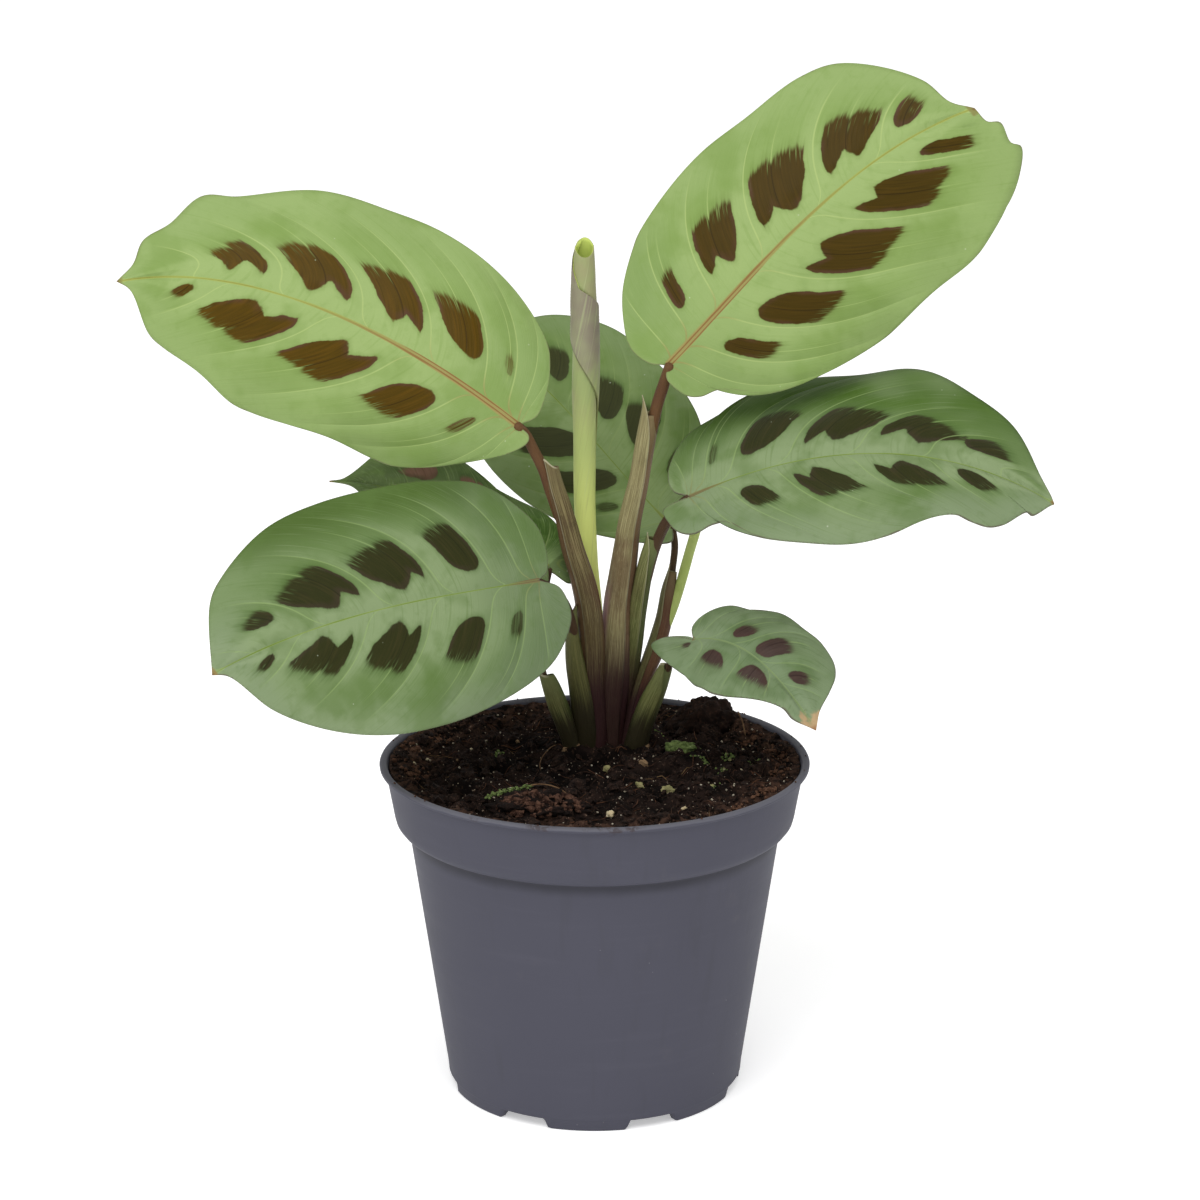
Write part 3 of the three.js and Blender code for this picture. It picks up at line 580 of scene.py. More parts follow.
# ---- leaf shapes -------------------------------------------------------------------------------
# As in the part's source: the midrib is a cubic curve, facing is where the upper side looks at the
# base and the tip, and lift, curl, ripple and phase are for the left and the right half.
# A blotch is (where it starts and ends along the margin, how far out its basal and its distal lobe
# begin, how far out they end). One without a distal lobe is a single drop.
LEAVES = {
    "upper_left": {
        "look": BRIGHT_LOOK,
        "midrib": [(-21, 8, 188), (-51, 13, 211), (-92, 19, 233), (-132, 24, 225)],
        "facing": [(0, -0.9, 0.4), (0, -0.95, 0.3)],
        "lift": (-14, -4), "curl": (-2, -3), "ripple": (1.2, 1.2), "pitch": 42, "phase": (0.1, 0.45),
        "left": [(0, 0), (-4, 0.3), (-5, 2), (-2.5, 8), (11.5, 22.5), (22.5, 29), (30, 30.5), (44, 31.5),
                 (59, 33), (74, 33.5), (83, 32.5), (96.5, 26), (110, 19.5), (114.5, 15.5), (118, 3),
                 (121.5, 0)],
        "right": [(0, 0), (-2.5, -5), (-1.5, -10), (3, -19), (7.5, -24), (22, -31), (44.5, -34.5),
                  (58.5, -33.5), (73.5, -31.5), (92, -24.5), (100, -23.5), (107, -15), (113.5, -10.5),
                  (116.5, -4), (121.5, 0)],
        "sweep": (3.2, 3.2), "notch": -0.05, "turned": (0, 33),
        "blotches": [
            [(0.42, 0.462, 0.13, None, 0.3, 0.28), (0.552, 0.652, 0.13, None, 0.44, 0.42),
             (0.7, 0.785, 0.15, 0.155, 0.52, 0.54), (0.818, 0.905, 0.165, 0.13, 0.62, 0.56),
             (0.931, 0.946, 0.13, None, 0.5, 0.5)],
            [(0.385, 0.43, 0.21, None, 0.3, 0.3), (0.508, 0.612, 0.16, None, 0.46, 0.46),
             (0.65, 0.724, 0.15, 0.13, 0.5, 0.52), (0.758, 0.828, 0.14, 0.11, 0.53, 0.54),
             (0.852, 0.905, 0.18, 0.17, 0.68, 0.5)],
        ],
    },
    "upper_right": {
        "look": RIGHT_LOOK,
        "midrib": [(20, 8, 205), (45, 15, 230), (69, 23, 261), (104, 30, 272)],
        "facing": [(0, -0.92, 0.35), (0, -0.92, 0.35)],
        "lift": (-3, -8), "curl": (-3, -2), "ripple": (1, 1.6), "pitch": 40, "phase": (0.3, 0.65),
        "left": [(0, 0), (-3, 3.5), (-4, 8.5), (-3, 12.5), (5.5, 22.5), (17.5, 29.5), (23, 31.5),
                 (48, 34), (63, 32.5), (78, 31.5), (87, 28.5), (101.5, 13), (105.5, 4), (111, 0)],
        "right": [(0, 0), (-3, -2.5), (-2.5, -9.5), (0, -12.5), (5, -15), (14.5, -26.5), (28.5, -33.5),
                  (47, -38), (54, -38.5), (72, -38), (90, -37), (97.5, -35), (111, -28), (117.5, -20.5),
                  (120, -14), (117.5, -12), (116.5, -6), (113, -4.5), (111, 0)],
        "sweep": (2.2, 3.0), "notch": -0.1,
        "blotches": [
            [(0.352, 0.402, 0.17, None, 0.42, 0.42), (0.49, 0.6, 0.16, 0.13, 0.5, 0.47),
             (0.645, 0.756, 0.12, 0.08, 0.51, 0.46), (0.784, 0.87, 0.12, 0.13, 0.56, 0.6),
             (0.89, 0.926, 0.26, None, 0.76, 0.68)],
            [(0.45, 0.516, 0.14, None, 0.38, 0.38), (0.574, 0.664, 0.15, None, 0.48, 0.48),
             (0.706, 0.79, 0.2, 0.17, 0.54, 0.56), (0.82, 0.884, 0.2, 0.19, 0.64, 0.66),
             (0.914, 0.938, 0.32, None, 0.78, 0.76)],
        ],
    },
    "middle_right": {
        "look": MIDDLE_LOOK,
        "midrib": [(26, 0, 170), (58, -3, 186), (93, -10, 190), (123, -24, 174)],
        "facing": [(0.1, -0.5, 0.85), (0.3, -0.55, 0.8)],
        "lift": (4, 4), "curl": (-4, -4), "ripple": (1.5, 3), "pitch": 70, "phase": (0.25, 0.1),
        "left": [(0, 0), (-4, 4), (-4, 11), (3.5, 21.5), (12.5, 26), (28, 37), (35.5, 38), (45.5, 36.5),
                 (55.5, 38), (61, 36.5), (72, 29), (83.5, 21.5), (96.5, 6.5), (104, 0)],
        "right": [(0, 0), (-8, -0.3), (-7.5, -6.5), (-5.5, -11), (-1.5, -14), (4.5, -14), (9, -15.5),
                  (17, -24), (23.5, -27), (37, -29), (59, -30), (66, -29), (82, -21), (87, -21.5),
                  (93, -20.5), (96.5, -17), (100, -8.5), (101.5, -9), (104, 0)],
        "sweep": (3.2, 3.4), "notch": -0.2, "turned": (24, 0),
        "blotches": [
            [(0.395, 0.435, 0.14, None, 0.26, 0.25), (0.522, 0.628, 0.12, None, 0.42, 0.42),
             (0.672, 0.765, 0.13, 0.13, 0.5, 0.5), (0.782, 0.868, 0.22, 0.19, 0.58, 0.56),
             (0.868, 0.922, 0.42, None, 0.78, 0.7)],
            [(0.52, 0.605, 0.13, None, 0.36, 0.35), (0.672, 0.748, 0.16, 0.13, 0.46, 0.52),
             (0.803, 0.872, 0.16, 0.12, 0.47, 0.54), (0.9, 0.93, 0.18, None, 0.66, 0.6)],
        ],
    },
    "lower_left": {
        "look": LOWER_LOOK,
        "midrib": [(-15, -10, 149), (-42, -30, 150), (-71, -48, 151), (-99, -62, 138)],
        "facing": [(0.2, -0.85, 0.45), (0.1, -0.85, 0.5)],
        "lift": (-4, 6), "curl": (-3, -4), "ripple": (1, 1), "pitch": 45, "phase": (0.2, 0.55),
        "left": [(0, 0), (-6, 3), (-8, 10), (-7, 13.5), (-0.5, 21.5), (8, 26.5), (22, 31), (41, 33.5),
                 (57, 32.5), (79.5, 24.5), (90.5, 15.5), (97, 2.5), (100.5, 0)],
        "right": [(0, 0), (-3, -2), (-4, -13), (0.5, -21), (10, -29.5), (23.5, -32), (39.5, -33),
                  (55.5, -33), (71.5, -30), (86.5, -22), (91.5, -17.5), (100.5, 0)],
        "sweep": (3.0, 2.8), "notch": -0.28,
        "blotches": [
            [(0.385, 0.455, 0.17, None, 0.32, 0.3), (0.552, 0.645, 0.15, None, 0.44, 0.42),
             (0.715, 0.8, 0.155, 0.12, 0.54, 0.46), (0.83, 0.908, 0.16, 0.12, 0.58, 0.54),
             (0.93, 0.946, 0.26, None, 0.64, 0.6)],
            [(0.512, 0.608, 0.11, None, 0.48, 0.42), (0.668, 0.765, 0.14, 0.09, 0.48, 0.44),
             (0.79, 0.875, 0.16, 0.12, 0.58, 0.54), (0.893, 0.932, 0.36, None, 0.62, 0.6)],
        ],
    },
    "back_centre": {
        "look": BACK_LOOK,
        "midrib": [(22, 28, 154), (4, 51, 167), (-11, 74, 184), (-33, 96, 195)],
        "facing": [(-0.25, -0.6, 0.75), (-0.25, -0.6, 0.75)],
        "lift": (5, 5), "curl": (-3, -3), "ripple": (1.2, 1.2), "pitch": 38, "phase": (0, 0.35),
        "left": [(0, 0), (-4, 3), (-3, 5.5), (13, 18), (19.5, 21), (37.5, 27), (51.5, 28.5), (68.5, 26),
                 (82, 19.5), (93.5, 7), (96.5, 0)],
        "right": [(0, 0), (-3, -1.5), (1.5, -8.5), (19.5, -24), (25, -27), (33.5, -29), (47.5, -30),
                  (57.5, -29.5), (69.5, -27), (86, -18), (96.5, 0)],
        "sweep": (2.6, 2.6), "notch": -0.28,
        "blotches": [
            [(0.455, 0.5, 0.2, None, 0.34, 0.32), (0.56, 0.64, 0.06, None, 0.5, 0.48),
             (0.69, 0.775, 0.07, None, 0.62, 0.6), (0.86, 0.9, 0.2, None, 0.6, 0.55)],
            [(0.44, 0.48, 0.25, None, 0.42, 0.4), (0.565, 0.685, 0.19, None, 0.56, 0.44),
             (0.7, 0.775, 0.18, None, 0.54, 0.48), (0.838, 0.888, 0.18, None, 0.58, 0.55)],
        ],
    },
    "back_left": {
        "look": BACK_LEFT_LOOK, "lobe": (-0.75, -0.35, 0.56),
        "midrib": [(-13, 12, 147), (-31, 24, 158), (-53, 35, 165), (-76, 46, 163)],
        "facing": [(0.1, -0.6, 0.8), (0, -0.6, 0.8)],
        "lift": (4, 4), "curl": (-3, -3), "ripple": (1, 1), "pitch": 30, "phase": (0, 0.35),
        "left": [(0, 0), (-4.5, 5), (-6.5, 10), (-5, 16.5), (2.5, 21.5), (15, 23.5), (30, 21),
                 (45, 15.5), (56, 8.5), (66.5, 1.5), (74.5, 0)],
        "right": [(0, 0), (-9, 1.5), (-9.5, -0.5), (-5, -5.5), (6, -12), (11, -13.5), (27, -12.5),
                  (47, -19), (56, -20), (61.5, -16), (69.5, -1.5), (74.5, 0)],
        "sweep": (2.6, 2.6), "notch": -0.28,
        "blotches": [
            [(0.52, 0.6, 0.15, None, 0.5, 0.42), (0.66, 0.75, 0.14, 0.14, 0.52, 0.44),
             (0.82, 0.88, 0.15, None, 0.5, 0.45)],
            [(0.5, 0.58, 0.18, None, 0.5, 0.42), (0.64, 0.73, 0.16, 0.15, 0.5, 0.42),
             (0.775, 0.87, 0.28, None, 0.52, 0.48)],
        ],
    },
    "small_right": {
        "look": SMALL_LOOK,
        "midrib": [(27, -6, 131), (42, -15, 136), (51, -23, 124), (60, -28, 112)],
        "facing": [(0, -0.5, 0.85), (0.3, -0.6, 0.7)],
        "lift": (14, -10), "curl": (-6, -4), "ripple": (3, 3), "pitch": 22, "phase": (0.2, 0.55),
        "left": [(0, 0), (-1, 4.5), (6.5, 12), (11.5, 13), (16.5, 16), (23.5, 16), (29, 17.5),
                 (34, 17.3), (37.6, 14.6), (40.5, 9.6), (43.5, 3.6), (47, 0)],
        "right": [(0, 0), (-9, 2.5), (-12, 2), (-14, 0.5), (2.5, -13), (17, -16.5), (22.5, -14.5),
                  (37, -4.5), (41, -4), (47, 0)],
        "sweep": (2.2, 2.2), "notch": -0.28,
        "blotches": [
            [(0.5, 0.585, 0.1, None, 0.32, 0.3), (0.646, 0.73, 0.05, None, 0.42, 0.42),
             (0.795, 0.85, 0.18, None, 0.55, 0.52)],
            [(0.21, 0.265, 0.32, None, 0.5, 0.5), (0.4, 0.61, 0.2, None, 0.45, 0.42),
             (0.668, 0.822, 0.13, None, 0.46, 0.44)],
        ],
    },
}

BLADE_ROWS = 250
BLADE_COLUMNS = 70
BLADE_THICKNESS = 0.4
CURL_REFERENCE = 30
MIDRIB_RADIUS = 1.25
# A blotch's inner end: where its two tips and the notch between them stand across it, from -1 on
# the basal edge to 1, and how fast each side falls back from its tip, in mm.
BASAL_TIP, LOBE_GAP = -0.86, 0.4
FALL_BASAL, FALL_NOTCH, FALL_INNER, FALL_DISTAL = 3.0, 5.5, 3.0, 6.5
# A blotch that is shorter than this, across the half, is faint.
SHORT_BLOTCH = 0.2
VEIN_BEFORE_BLOTCH = 1.4  # mm
# Where the middle of a side vein stands between the midrib and the margin: along and across.
VEIN_REACH, VEIN_SWELL = 0.12, 0.72
FIRST_ROWS = 0.02
# A side vein leaves the midrib this far early, and catches up over this distance from it, in mm.
VEIN_LAG, LAG_REACH = 4.0, 1.8
# How far the blade swells between veins that stand wide enough apart, and how far apart that is; how
# deep and how wide it dips at the midrib. All in mm.
SWELL_HEIGHT, SWELL_SPACING = 0.7, 13
DIP_DEPTH, DIP_WIDTH = 0.3, 1.2
FLAT_ENDS = 0.02  # the share of the rows at each end where the blade swells less


class Blade:
    """The shape of one leaf: its surface, its veins and its blotches."""

    def __init__(self, leaf):
        self.leaf = leaf
        t = np.linspace(0, 1, 401)[:, None]
        p = np.array(leaf["midrib"], float)
        self.line = ((1 - t)**3 * p[0] + 3 * (1 - t)**2 * t * p[1] + 3 * (1 - t) * t**2 * p[2]
                     + t**3 * p[3])
        self.along = lengths_along(self.line)
        self.length = self.along[-1]
        self.tangent = unit(np.gradient(self.line, axis=0))
        self.margins = []
        for half in ("left", "right"):
            margin = smooth_line(leaf[half], 2)
            along = lengths_along(margin)
            self.margins.append((margin, along / along[-1]))

    def flat(self, half, row, across):
        """Leaf coordinates in mm: a vein leaves the midrib and bends towards the tip."""
        margin, along = self.margins[half]
        edge = pick(margin, along, row)
        # The midrib ends where the margins end, and its first rows keep a little distance.
        start = margin[-1, 0] * (row**self.leaf["sweep"][half] + FIRST_ROWS * row * (1 - row))
        middle = start + VEIN_REACH * (edge[..., 0] - start)
        x = (1 - across)**2 * start + 2 * (1 - across) * across * middle + across**2 * edge[..., 0]
        # On some leaves the inner part of the last veins lies nearer the tip.
        turned = self.leaf.get("turned", (0, 0))[half]
        x = x + turned * row**6 * (1 - row**8) * np.maximum(1 - across / 0.6, 0)**2
        y = 2 * (1 - across) * across * VEIN_SWELL * edge[..., 1] + across**2 * edge[..., 1]
        return np.stack([x, y], axis=-1)

    def placed(self, half, flat):
        """The middle surface and the way it faces."""
        x, y = flat[..., 0], flat[..., 1]
        inside = np.clip(x, 0, self.length)
        tangent = unit(pick(self.tangent, self.along, inside))
        beyond = np.where((x < 0)[:, None], np.array(self.leaf.get("lobe", self.tangent[0])), tangent)
        centre = pick(self.line, self.along, inside) + beyond * (x - inside)[:, None]
        first, last = (np.array(facing) for facing in self.leaf["facing"])
        facing = first + (last - first) * (inside / self.length)[:, None]
        facing = unit(facing - tangent * (facing * tangent).sum(-1, keepdims=True))
        left = np.cross(facing, tangent)
        reach = y if half == 0 else -y
        lift = math.radians(self.leaf["lift"][half])
        wave = np.sin(2 * math.pi * (x / self.leaf["pitch"] + self.leaf["phase"][half]))
        share = (reach / CURL_REFERENCE)**2
        height = np.maximum(reach, 0) * math.sin(lift)
        height += (self.leaf["curl"][half] + self.leaf["ripple"][half] * wave) * share
        place = centre + left * (y * math.cos(lift))[:, None] + facing * height[:, None]
        return place, facing

    def veins(self, half):
        """Where the side veins meet the margin: just before each blotch and past the last one."""
        margin, _ = self.margins[half]
        step = VEIN_BEFORE_BLOTCH / lengths_along(margin)[-1] * 1.4
        before = [start - step for start, *_ in self.leaf["blotches"][half]]
        gap = np.mean(np.diff(before))
        early = np.arange(before[0] - gap * 1.1, 0.08, -gap * 1.1)[::-1]
        late = np.arange(before[-1] + gap * 0.7, 0.97, gap * 0.7)
        return np.array([0.0, *early, *before, *late, 1.0])

    def spacing(self, half, row, across):
        """Millimetres per unit along the margin and across the half."""
        step = 0.004
        by_row = self.flat(half, np.minimum(row + step, 1), across) - self.flat(
            half, np.maximum(row - step, 0), across)
        by_across = self.flat(half, row, np.minimum(across + step, 1)) - self.flat(
            half, row, np.maximum(across - step, 0))
        return np.linalg.norm(by_row, axis=-1) / (2 * step), np.linalg.norm(by_across, axis=-1) / (2 * step)

    def blotch(self, half, row, across, per_row, per_across):
        """Depth inside the nearest blotch's sides and its end, and the distance from its seam."""
        best = np.full(row.shape, -99.0)
        result = np.full((3, *row.shape), -9.0)
        notch = self.leaf["notch"]
        for start, end, basal, distal, basal_out, distal_out in self.leaf["blotches"][half]:
            width = per_row * (end - start)
            turn = 2 * (row - start) / (end - start) - 1
            edge = (1 - np.abs(turn)) * width / 2
            if distal is None:
                aside = np.clip((turn + 0.2) / np.where(turn < -0.2, 0.8, 1.2), -0.98, 0.98)
                behind = 0.55 * width * (1 - np.sqrt(1 - aside**2))
                inner = ((across - basal) * per_across - behind) * 0.7
            else:
                tip = notch + LOBE_GAP
                lobes = [(basal, fall(turn, BASAL_TIP, -1, notch, FALL_BASAL, FALL_NOTCH)),
                         (distal, fall(turn, tip, notch, 1, FALL_INNER, FALL_DISTAL))]
                inner = np.max([(across - begins) * per_across - behind for begins, behind in lobes], axis=0)
                inner = inner * 0.5
            sides = soft_least(edge, inner, 0.9)
            bow = 0.5 * np.cos(math.pi / 2 * np.clip(turn, -1, 1)) / np.maximum(per_across, 1)
            out = basal_out + (distal_out - basal_out) * (np.clip(turn, -1, 1) + 1) / 2 + bow
            seam = (turn - notch) * width / 2
            ends = (out - across) * per_across - 1.1 * np.abs(turn)**5
            if distal is not None:
                ends -= 1.8 * np.exp(-(seam / 0.55)**2)
            if basal_out - basal < SHORT_BLOTCH:
                ends = np.minimum(ends, 8 * (basal_out - basal) - 1)
            inside = np.minimum(sides, ends)
            nearer = inside > best
            best = np.where(nearer, inside, best)
            for store, value in zip(result, (sides, ends, seam)):
                store[nearer] = value[nearer]
        return np.clip(result, -9, 9)


def soft_least(first, second, softness):
    """The smaller of two lengths, with a rounded change from one to the other."""
    gap = np.clip(0.5 + (second - first) / (2 * softness), 0, 1)
    return second + (first - second) * gap - softness * gap * (1 - gap)


def fall(turn, tip, low, high, low_length, high_length):
    """How far a lobe's inner edge lies behind its tip, in mm."""
    below = np.maximum(tip - turn, 0) / (tip - low)
    above = np.maximum(turn - tip, 0) / (high - tip)
    return low_length * below**1.3 + high_length * above**1.6


def leaf(name):
    blade = Blade(LEAVES[name])
    mesh, row, across = sheet(BLADE_ROWS, BLADE_COLUMNS)
    count = len(row)
    signed = 2 * across - 1
    share = np.abs(signed)**1.3
    upper, facing = np.zeros((count, 3)), np.zeros((count, 3))
    grid, edges, blotch, side = (np.zeros((3, count)) for _ in range(4))
    rib = np.zeros(count)
    for half in (0, 1):
        chosen = (signed >= 0) if half == 0 else (signed < 0)
        rows, shares = row[chosen], share[chosen]
        flat = blade.flat(half, rows, shares)
        place, face = blade.placed(half, flat)
        per_row, per_across = blade.spacing(half, rows, shares)
        from_midrib = np.abs(flat[:, 1])
        margin = blade.margins[half][0]
        gaps = np.linalg.norm(flat[:, None, :] - margin[None, ::2, :], axis=-1).min(axis=1)

        # A side vein leaves the midrib at a narrow angle before it turns out to the margin.
        veins = blade.veins(half)
        power = LEAVES[name]["sweep"][half]
        lag = VEIN_LAG * np.exp(-from_midrib / LAG_REACH)
        lag = lag / (power * blade.length * np.maximum(rows, 0.3)**(power - 1))
        number = np.interp(np.clip(rows + lag, 0, 1), veins, np.arange(len(veins)))
        slot_number = np.clip(number.astype(int), 0, len(veins) - 2)
        spacing = per_row * (veins[slot_number + 1] - veins[slot_number])
        phase = number - slot_number

        # The blade swells between its veins and dips at the midrib.
        swell = np.sin(math.pi * np.clip(phase, 0, 1))**0.8 * np.clip(spacing / SWELL_SPACING, 0, 1)**1.5
        swell *= np.clip(rows / 0.45, 0.3, 1)
        reach = np.clip(shares / 0.2, 0, 1) * np.clip((1 - shares) / 0.3, 0, 1)
        # Both ends are points, where all columns must meet.
        reach *= np.clip(np.minimum(rows, 1 - rows) / FLAT_ENDS, 0, 1)
        height = SWELL_HEIGHT * swell * reach - DIP_DEPTH * np.exp(-(from_midrib / DIP_WIDTH)**2)
        upper[chosen] = place + face * (height + BLADE_THICKNESS / 2)[:, None]
        facing[chosen] = face
        fade = np.clip(1 - flat[:, 0] / blade.length, 0.05, 1)**0.6
        radius = MIDRIB_RADIUS * fade * min(blade.length / 100, 1)
        rib[chosen] = np.sqrt(np.maximum(radius**2 - from_midrib**2, 0))
        grid[:, chosen] = rows, shares, number
        edges[:, chosen] = from_midrib, spacing, gaps
        blotch[:, chosen] = blade.blotch(half, rows, shares, per_row, per_across)
        from_tip = np.hypot(flat[:, 0] - margin[-1, 0], flat[:, 1])
        side[:, chosen] = flat[:, 1], flat[:, 0], from_tip
    lay(mesh, upper)
    for layer, values in (("grid", grid), ("edges", edges), ("blotch", blotch), ("half", side)):
        write(mesh, layer, values)

    # The underside is a copy of the upper side, pushed back by the thickness and the midrib.
    copies = thicken(mesh, upper - facing * (BLADE_THICKNESS + rib)[:, None])
    below = {vertex for vertex, _ in copies}
    for face in mesh.faces:
        if all(vertex in below for vertex in face.verts):
            face.material_index = 1
    look = LEAVES[name]["look"]
    materials = [blade_finish("blade_" + name, look), underside_finish("underside_" + name, look)]
    finished("blade_" + name, mesh, materials, ["leaf_" + name])


# ---- stems -------------------------------------------------------------------------------------
def stem_finish(name, look):
    """A stem. "grain" is the turn round it (x), mm down it (y) and mm from its free edge (z);
    "level" is mm above the soil (x) and mm below its rim (y)."""
    finish, look = Finish(name), painted(look)
    turn, down, from_edge = finish.attribute("grain")
    height, from_top, _ = finish.attribute("level")
    angle = turn * (2 * math.pi)
    first, second = angle.sine(), (angle + math.pi / 2).sine()
    lines = finish.noise(finish.join(first * 15.0, second * 15.0, down * 0.06), 1.0, 3.0, 0.6)
    fine = finish.noise(finish.join(first * 34.0, second * 34.0, down * 0.2), 1.0, 2.0)
    blot = finish.noise(finish.place(), 170.0, 3.0)
    broad = finish.noise(finish.place(), 60.0, 2.0)
    flap = (from_edge + (lines - 0.5) * 1.5).rise(look["flap_width"] + 1.2, look["flap_width"] - 0.8)
    body = finish.blend(look["body"], look["light"], lines.rise(0.5, 0.72) * 0.7)
    over = finish.blend(look["flap"], look["flap_light"], lines.rise(0.46, 0.62))
    over = finish.blend(over, look["flap"], (height + (broad - 0.5) * 30.0).rise(52.0, 24.0) * 0.6)
    colour = finish.blend(body, over, flap)
    colour = finish.blend(colour, look["flush"], broad.rise(0.45, 0.62) * look["flush_share"])
    dashes = finish.noise(finish.join(first * 24.0, second * 24.0, down * 0.4 + 7.0), 1.0, 2.0)
    colour = finish.layers(colour, [
        ("flap_light", dashes.rise(0.58, 0.7) * (flap * 0.4 + 0.2)),
        ("dark", fine.rise(0.54, 0.72) * 0.5),
        ("dark", blot.rise(0.6, 0.75) * 0.3),
    ], look)
    blush = second.rise(-0.5, -0.85) * height.rise(24.0, 32.0) * height.rise(52.0, 42.0)
    colour = finish.blend(colour, look["blush"], blush * look["blush_share"])
    # Darker towards the soil: the crown's own maroon, and painted shade at the foot of the sheaths.
    base = (height + (lines - 0.5) * 18.0).rise(look["base_height"], look["base_height"] * 0.45)
    colour = finish.blend(colour, look["base"], base * 0.92)
    top = (from_top + (lines - 0.5) * 5.0).rise(look["top_length"], 1.0)
    colour = finish.blend(colour, look["top"], top * look["top_share"])
    # A pale line along the free edge and the top rim is painted highlight; on the low sheath the same mark is
    # a dark edge.
    rim = from_edge.rise(0.4, 0.1) * (height + blot * 30.0).rise(40.0, 70.0) * 0.6
    rim = rim.most(from_top.rise(0.8, 0.3) * from_edge.rise(4.0, 2.0))
    colour = finish.blend(colour, look["edge"], rim * look["edge_share"])
    normal = finish.bump(lines * 0.9 + fine * 0.5 + blot * 0.3, 0.0003, 0.6)
    roughness = 0.55 + (lines - 0.5) * 0.2
    return finish.surface(colour, roughness, normal, Specular_IOR_Level=look["gloss"])


STALK_LOOK = {
    "body": (104, 74, 46), "light": (124, 92, 60), "flap": (104, 74, 46),
    "flap_light": (128, 98, 66), "flush": (88, 54, 40), "dark": (74, 48, 34),
    "blush": (104, 74, 46), "blush_share": 0.0,
    "base": (96, 74, 46), "top": (132, 96, 62), "edge": (150, 120, 90),
    "flush_share": 0.6, "base_height": 0.0, "top_length": 9.0, "top_share": 0.4, "edge_share": 0.0,
    "flap_width": -5.0, "gloss": 0.16,
}
DARK_STALK_LOOK = {
    **STALK_LOOK, "body": (82, 62, 44), "light": (98, 78, 54), "flush": (76, 52, 42),
    "top": (96, 72, 50), "top_share": 0.2,
}
DARK_STALKS = ("middle_right", "back_centre", "lower_left", "back_left", "small_right")
BROWN_SHEATH_LOOK = {
    "blush": (150, 110, 114), "blush_share": 0.0,
    "body": (108, 86, 56), "light": (132, 114, 76), "flap": (108, 96, 60),
    "flap_light": (158, 152, 106), "flush": (96, 64, 50), "dark": (64, 46, 34),
    "base": (52, 24, 31), "top": (140, 130, 92), "edge": (196, 190, 158),
    "flush_share": 0.5, "base_height": 42.0, "top_length": 12.0, "top_share": 0.4, "edge_share": 0.8,
    "flap_width": 5.5, "gloss": 0.16,
}
GREEN_SHEATH_LOOK = {
    **BROWN_SHEATH_LOOK,
    "body": (78, 88, 44), "light": (104, 112, 64), "flap": (98, 102, 56),
    "flap_light": (148, 150, 96), "flush": (90, 78, 48), "dark": (54, 56, 30),
    "base": (40, 34, 22), "flush_share": 0.4, "base_height": 18.0, "top": (134, 142, 92),
}
LEFT_SHEATH_LOOK = {
    **BROWN_SHEATH_LOOK, "flap": (92, 78, 50), "flap_light": (142, 130, 88),
    "light": (122, 100, 66), "dark": (58, 42, 32), "base_height": 36.0, "top": (116, 106, 72),
    "body": (104, 80, 54),
}
MIDDLE_SHEATH_LOOK = {
    **GREEN_SHEATH_LOOK, "base": (56, 32, 32), "base_height": 34.0, "light": (112, 114, 68),
}
RIGHT_SHEATH_LOOK = {
    **BROWN_SHEATH_LOOK, "blush_share": 0.85, "body": (120, 96, 68), "light": (150, 132, 94),
    "flap": (136, 126, 86), "flap_light": (178, 170, 124), "flap_width": 10.0,
}
LOW_SHEATH_LOOK = {
    **GREEN_SHEATH_LOOK, "body": (92, 94, 48), "light": (112, 112, 62), "flap": (92, 92, 50),
    "flap_light": (128, 124, 74), "base_height": 26.0, "edge": (84, 52, 50), "edge_share": 0.8,
}
BACK_SHEATH_LOOK = {
    **BROWN_SHEATH_LOOK,
    "body": (98, 68, 46), "light": (124, 92, 66), "flap": (94, 92, 54),
    "flap_light": (136, 136, 90), "flap_width": 5.0, "base_height": 26.0,
}
# The young spear's pale lime is painted lighter still, as painted light where the leaves above shade it.
YOUNG_LOOK = {
    **GREEN_SHEATH_LOOK,
    "body": (190, 206, 122), "light": (202, 216, 138), "flap": (190, 206, 122),
    "flap_light": (200, 214, 130), "flush": (174, 194, 100), "dark": (160, 182, 90),
    "base": (170, 180, 110), "top": (178, 196, 104), "base_height": 0.0,
    "edge": (176, 186, 124), "edge_share": 0.4, "gloss": 0.14,
}

STALKS = {
    "upper_left": [(-21.6, 7.6, 188.6, 1.2), (-19, 10.2, 185, 1.45), (-16.6, 10.8, 180, 1.5),
                   (-14, 11.2, 174.5, 1.6), (-12.2, 11.4, 169, 1.7), (-9.4, 11.8, 160, 1.6)],
    "upper_right": [(20.6, 7.6, 205.6, 1.25), (19, 10.6, 199, 1.6), (17.2, 11.2, 193, 1.65),
                    (15.7, 11.8, 186, 1.7), (14, 12.4, 178, 1.6)],
    "middle_right": [(26.4, 0.2, 170, 1.2), (23, 5, 165.5, 1.4), (19.5, 9.5, 159.5, 1.5),
                     (16.8, 12.6, 152, 1.5), (14.2, 14.5, 141, 1.4)],
    "lower_left": [(-15.6, -10, 148.6, 1.2), (-11.5, -1, 143.5, 1.4), (-8, 6, 137, 1.4), (-5.5, 12, 126, 1.3),
                   (-4.6, 15.5, 118, 1.3)],
    "back_centre": [(21.8, 28.7, 154.2, 1.0), (22.6, 27, 149, 1.0), (22, 24.8, 143, 1.0),
                    (20.6, 22.8, 132, 1.0), (18.5, 21.6, 124, 0.9)],
    "back_left": [(-12.5, 12.6, 146.8, 1), (-14.5, 13, 137, 1.1), (-16.2, 11.4, 126, 1.1),
                  (-14, 11, 114, 1.1), (-11.6, 11.8, 108, 1.1)],
    "small_right": [(27.3, -5.6, 130.8, 0.8), (25.5, -1, 126, 1), (22, 5.6, 122, 1), (19.9, 9.9, 116.5, 1),
                    (17.2, 12, 109, 1)],
}

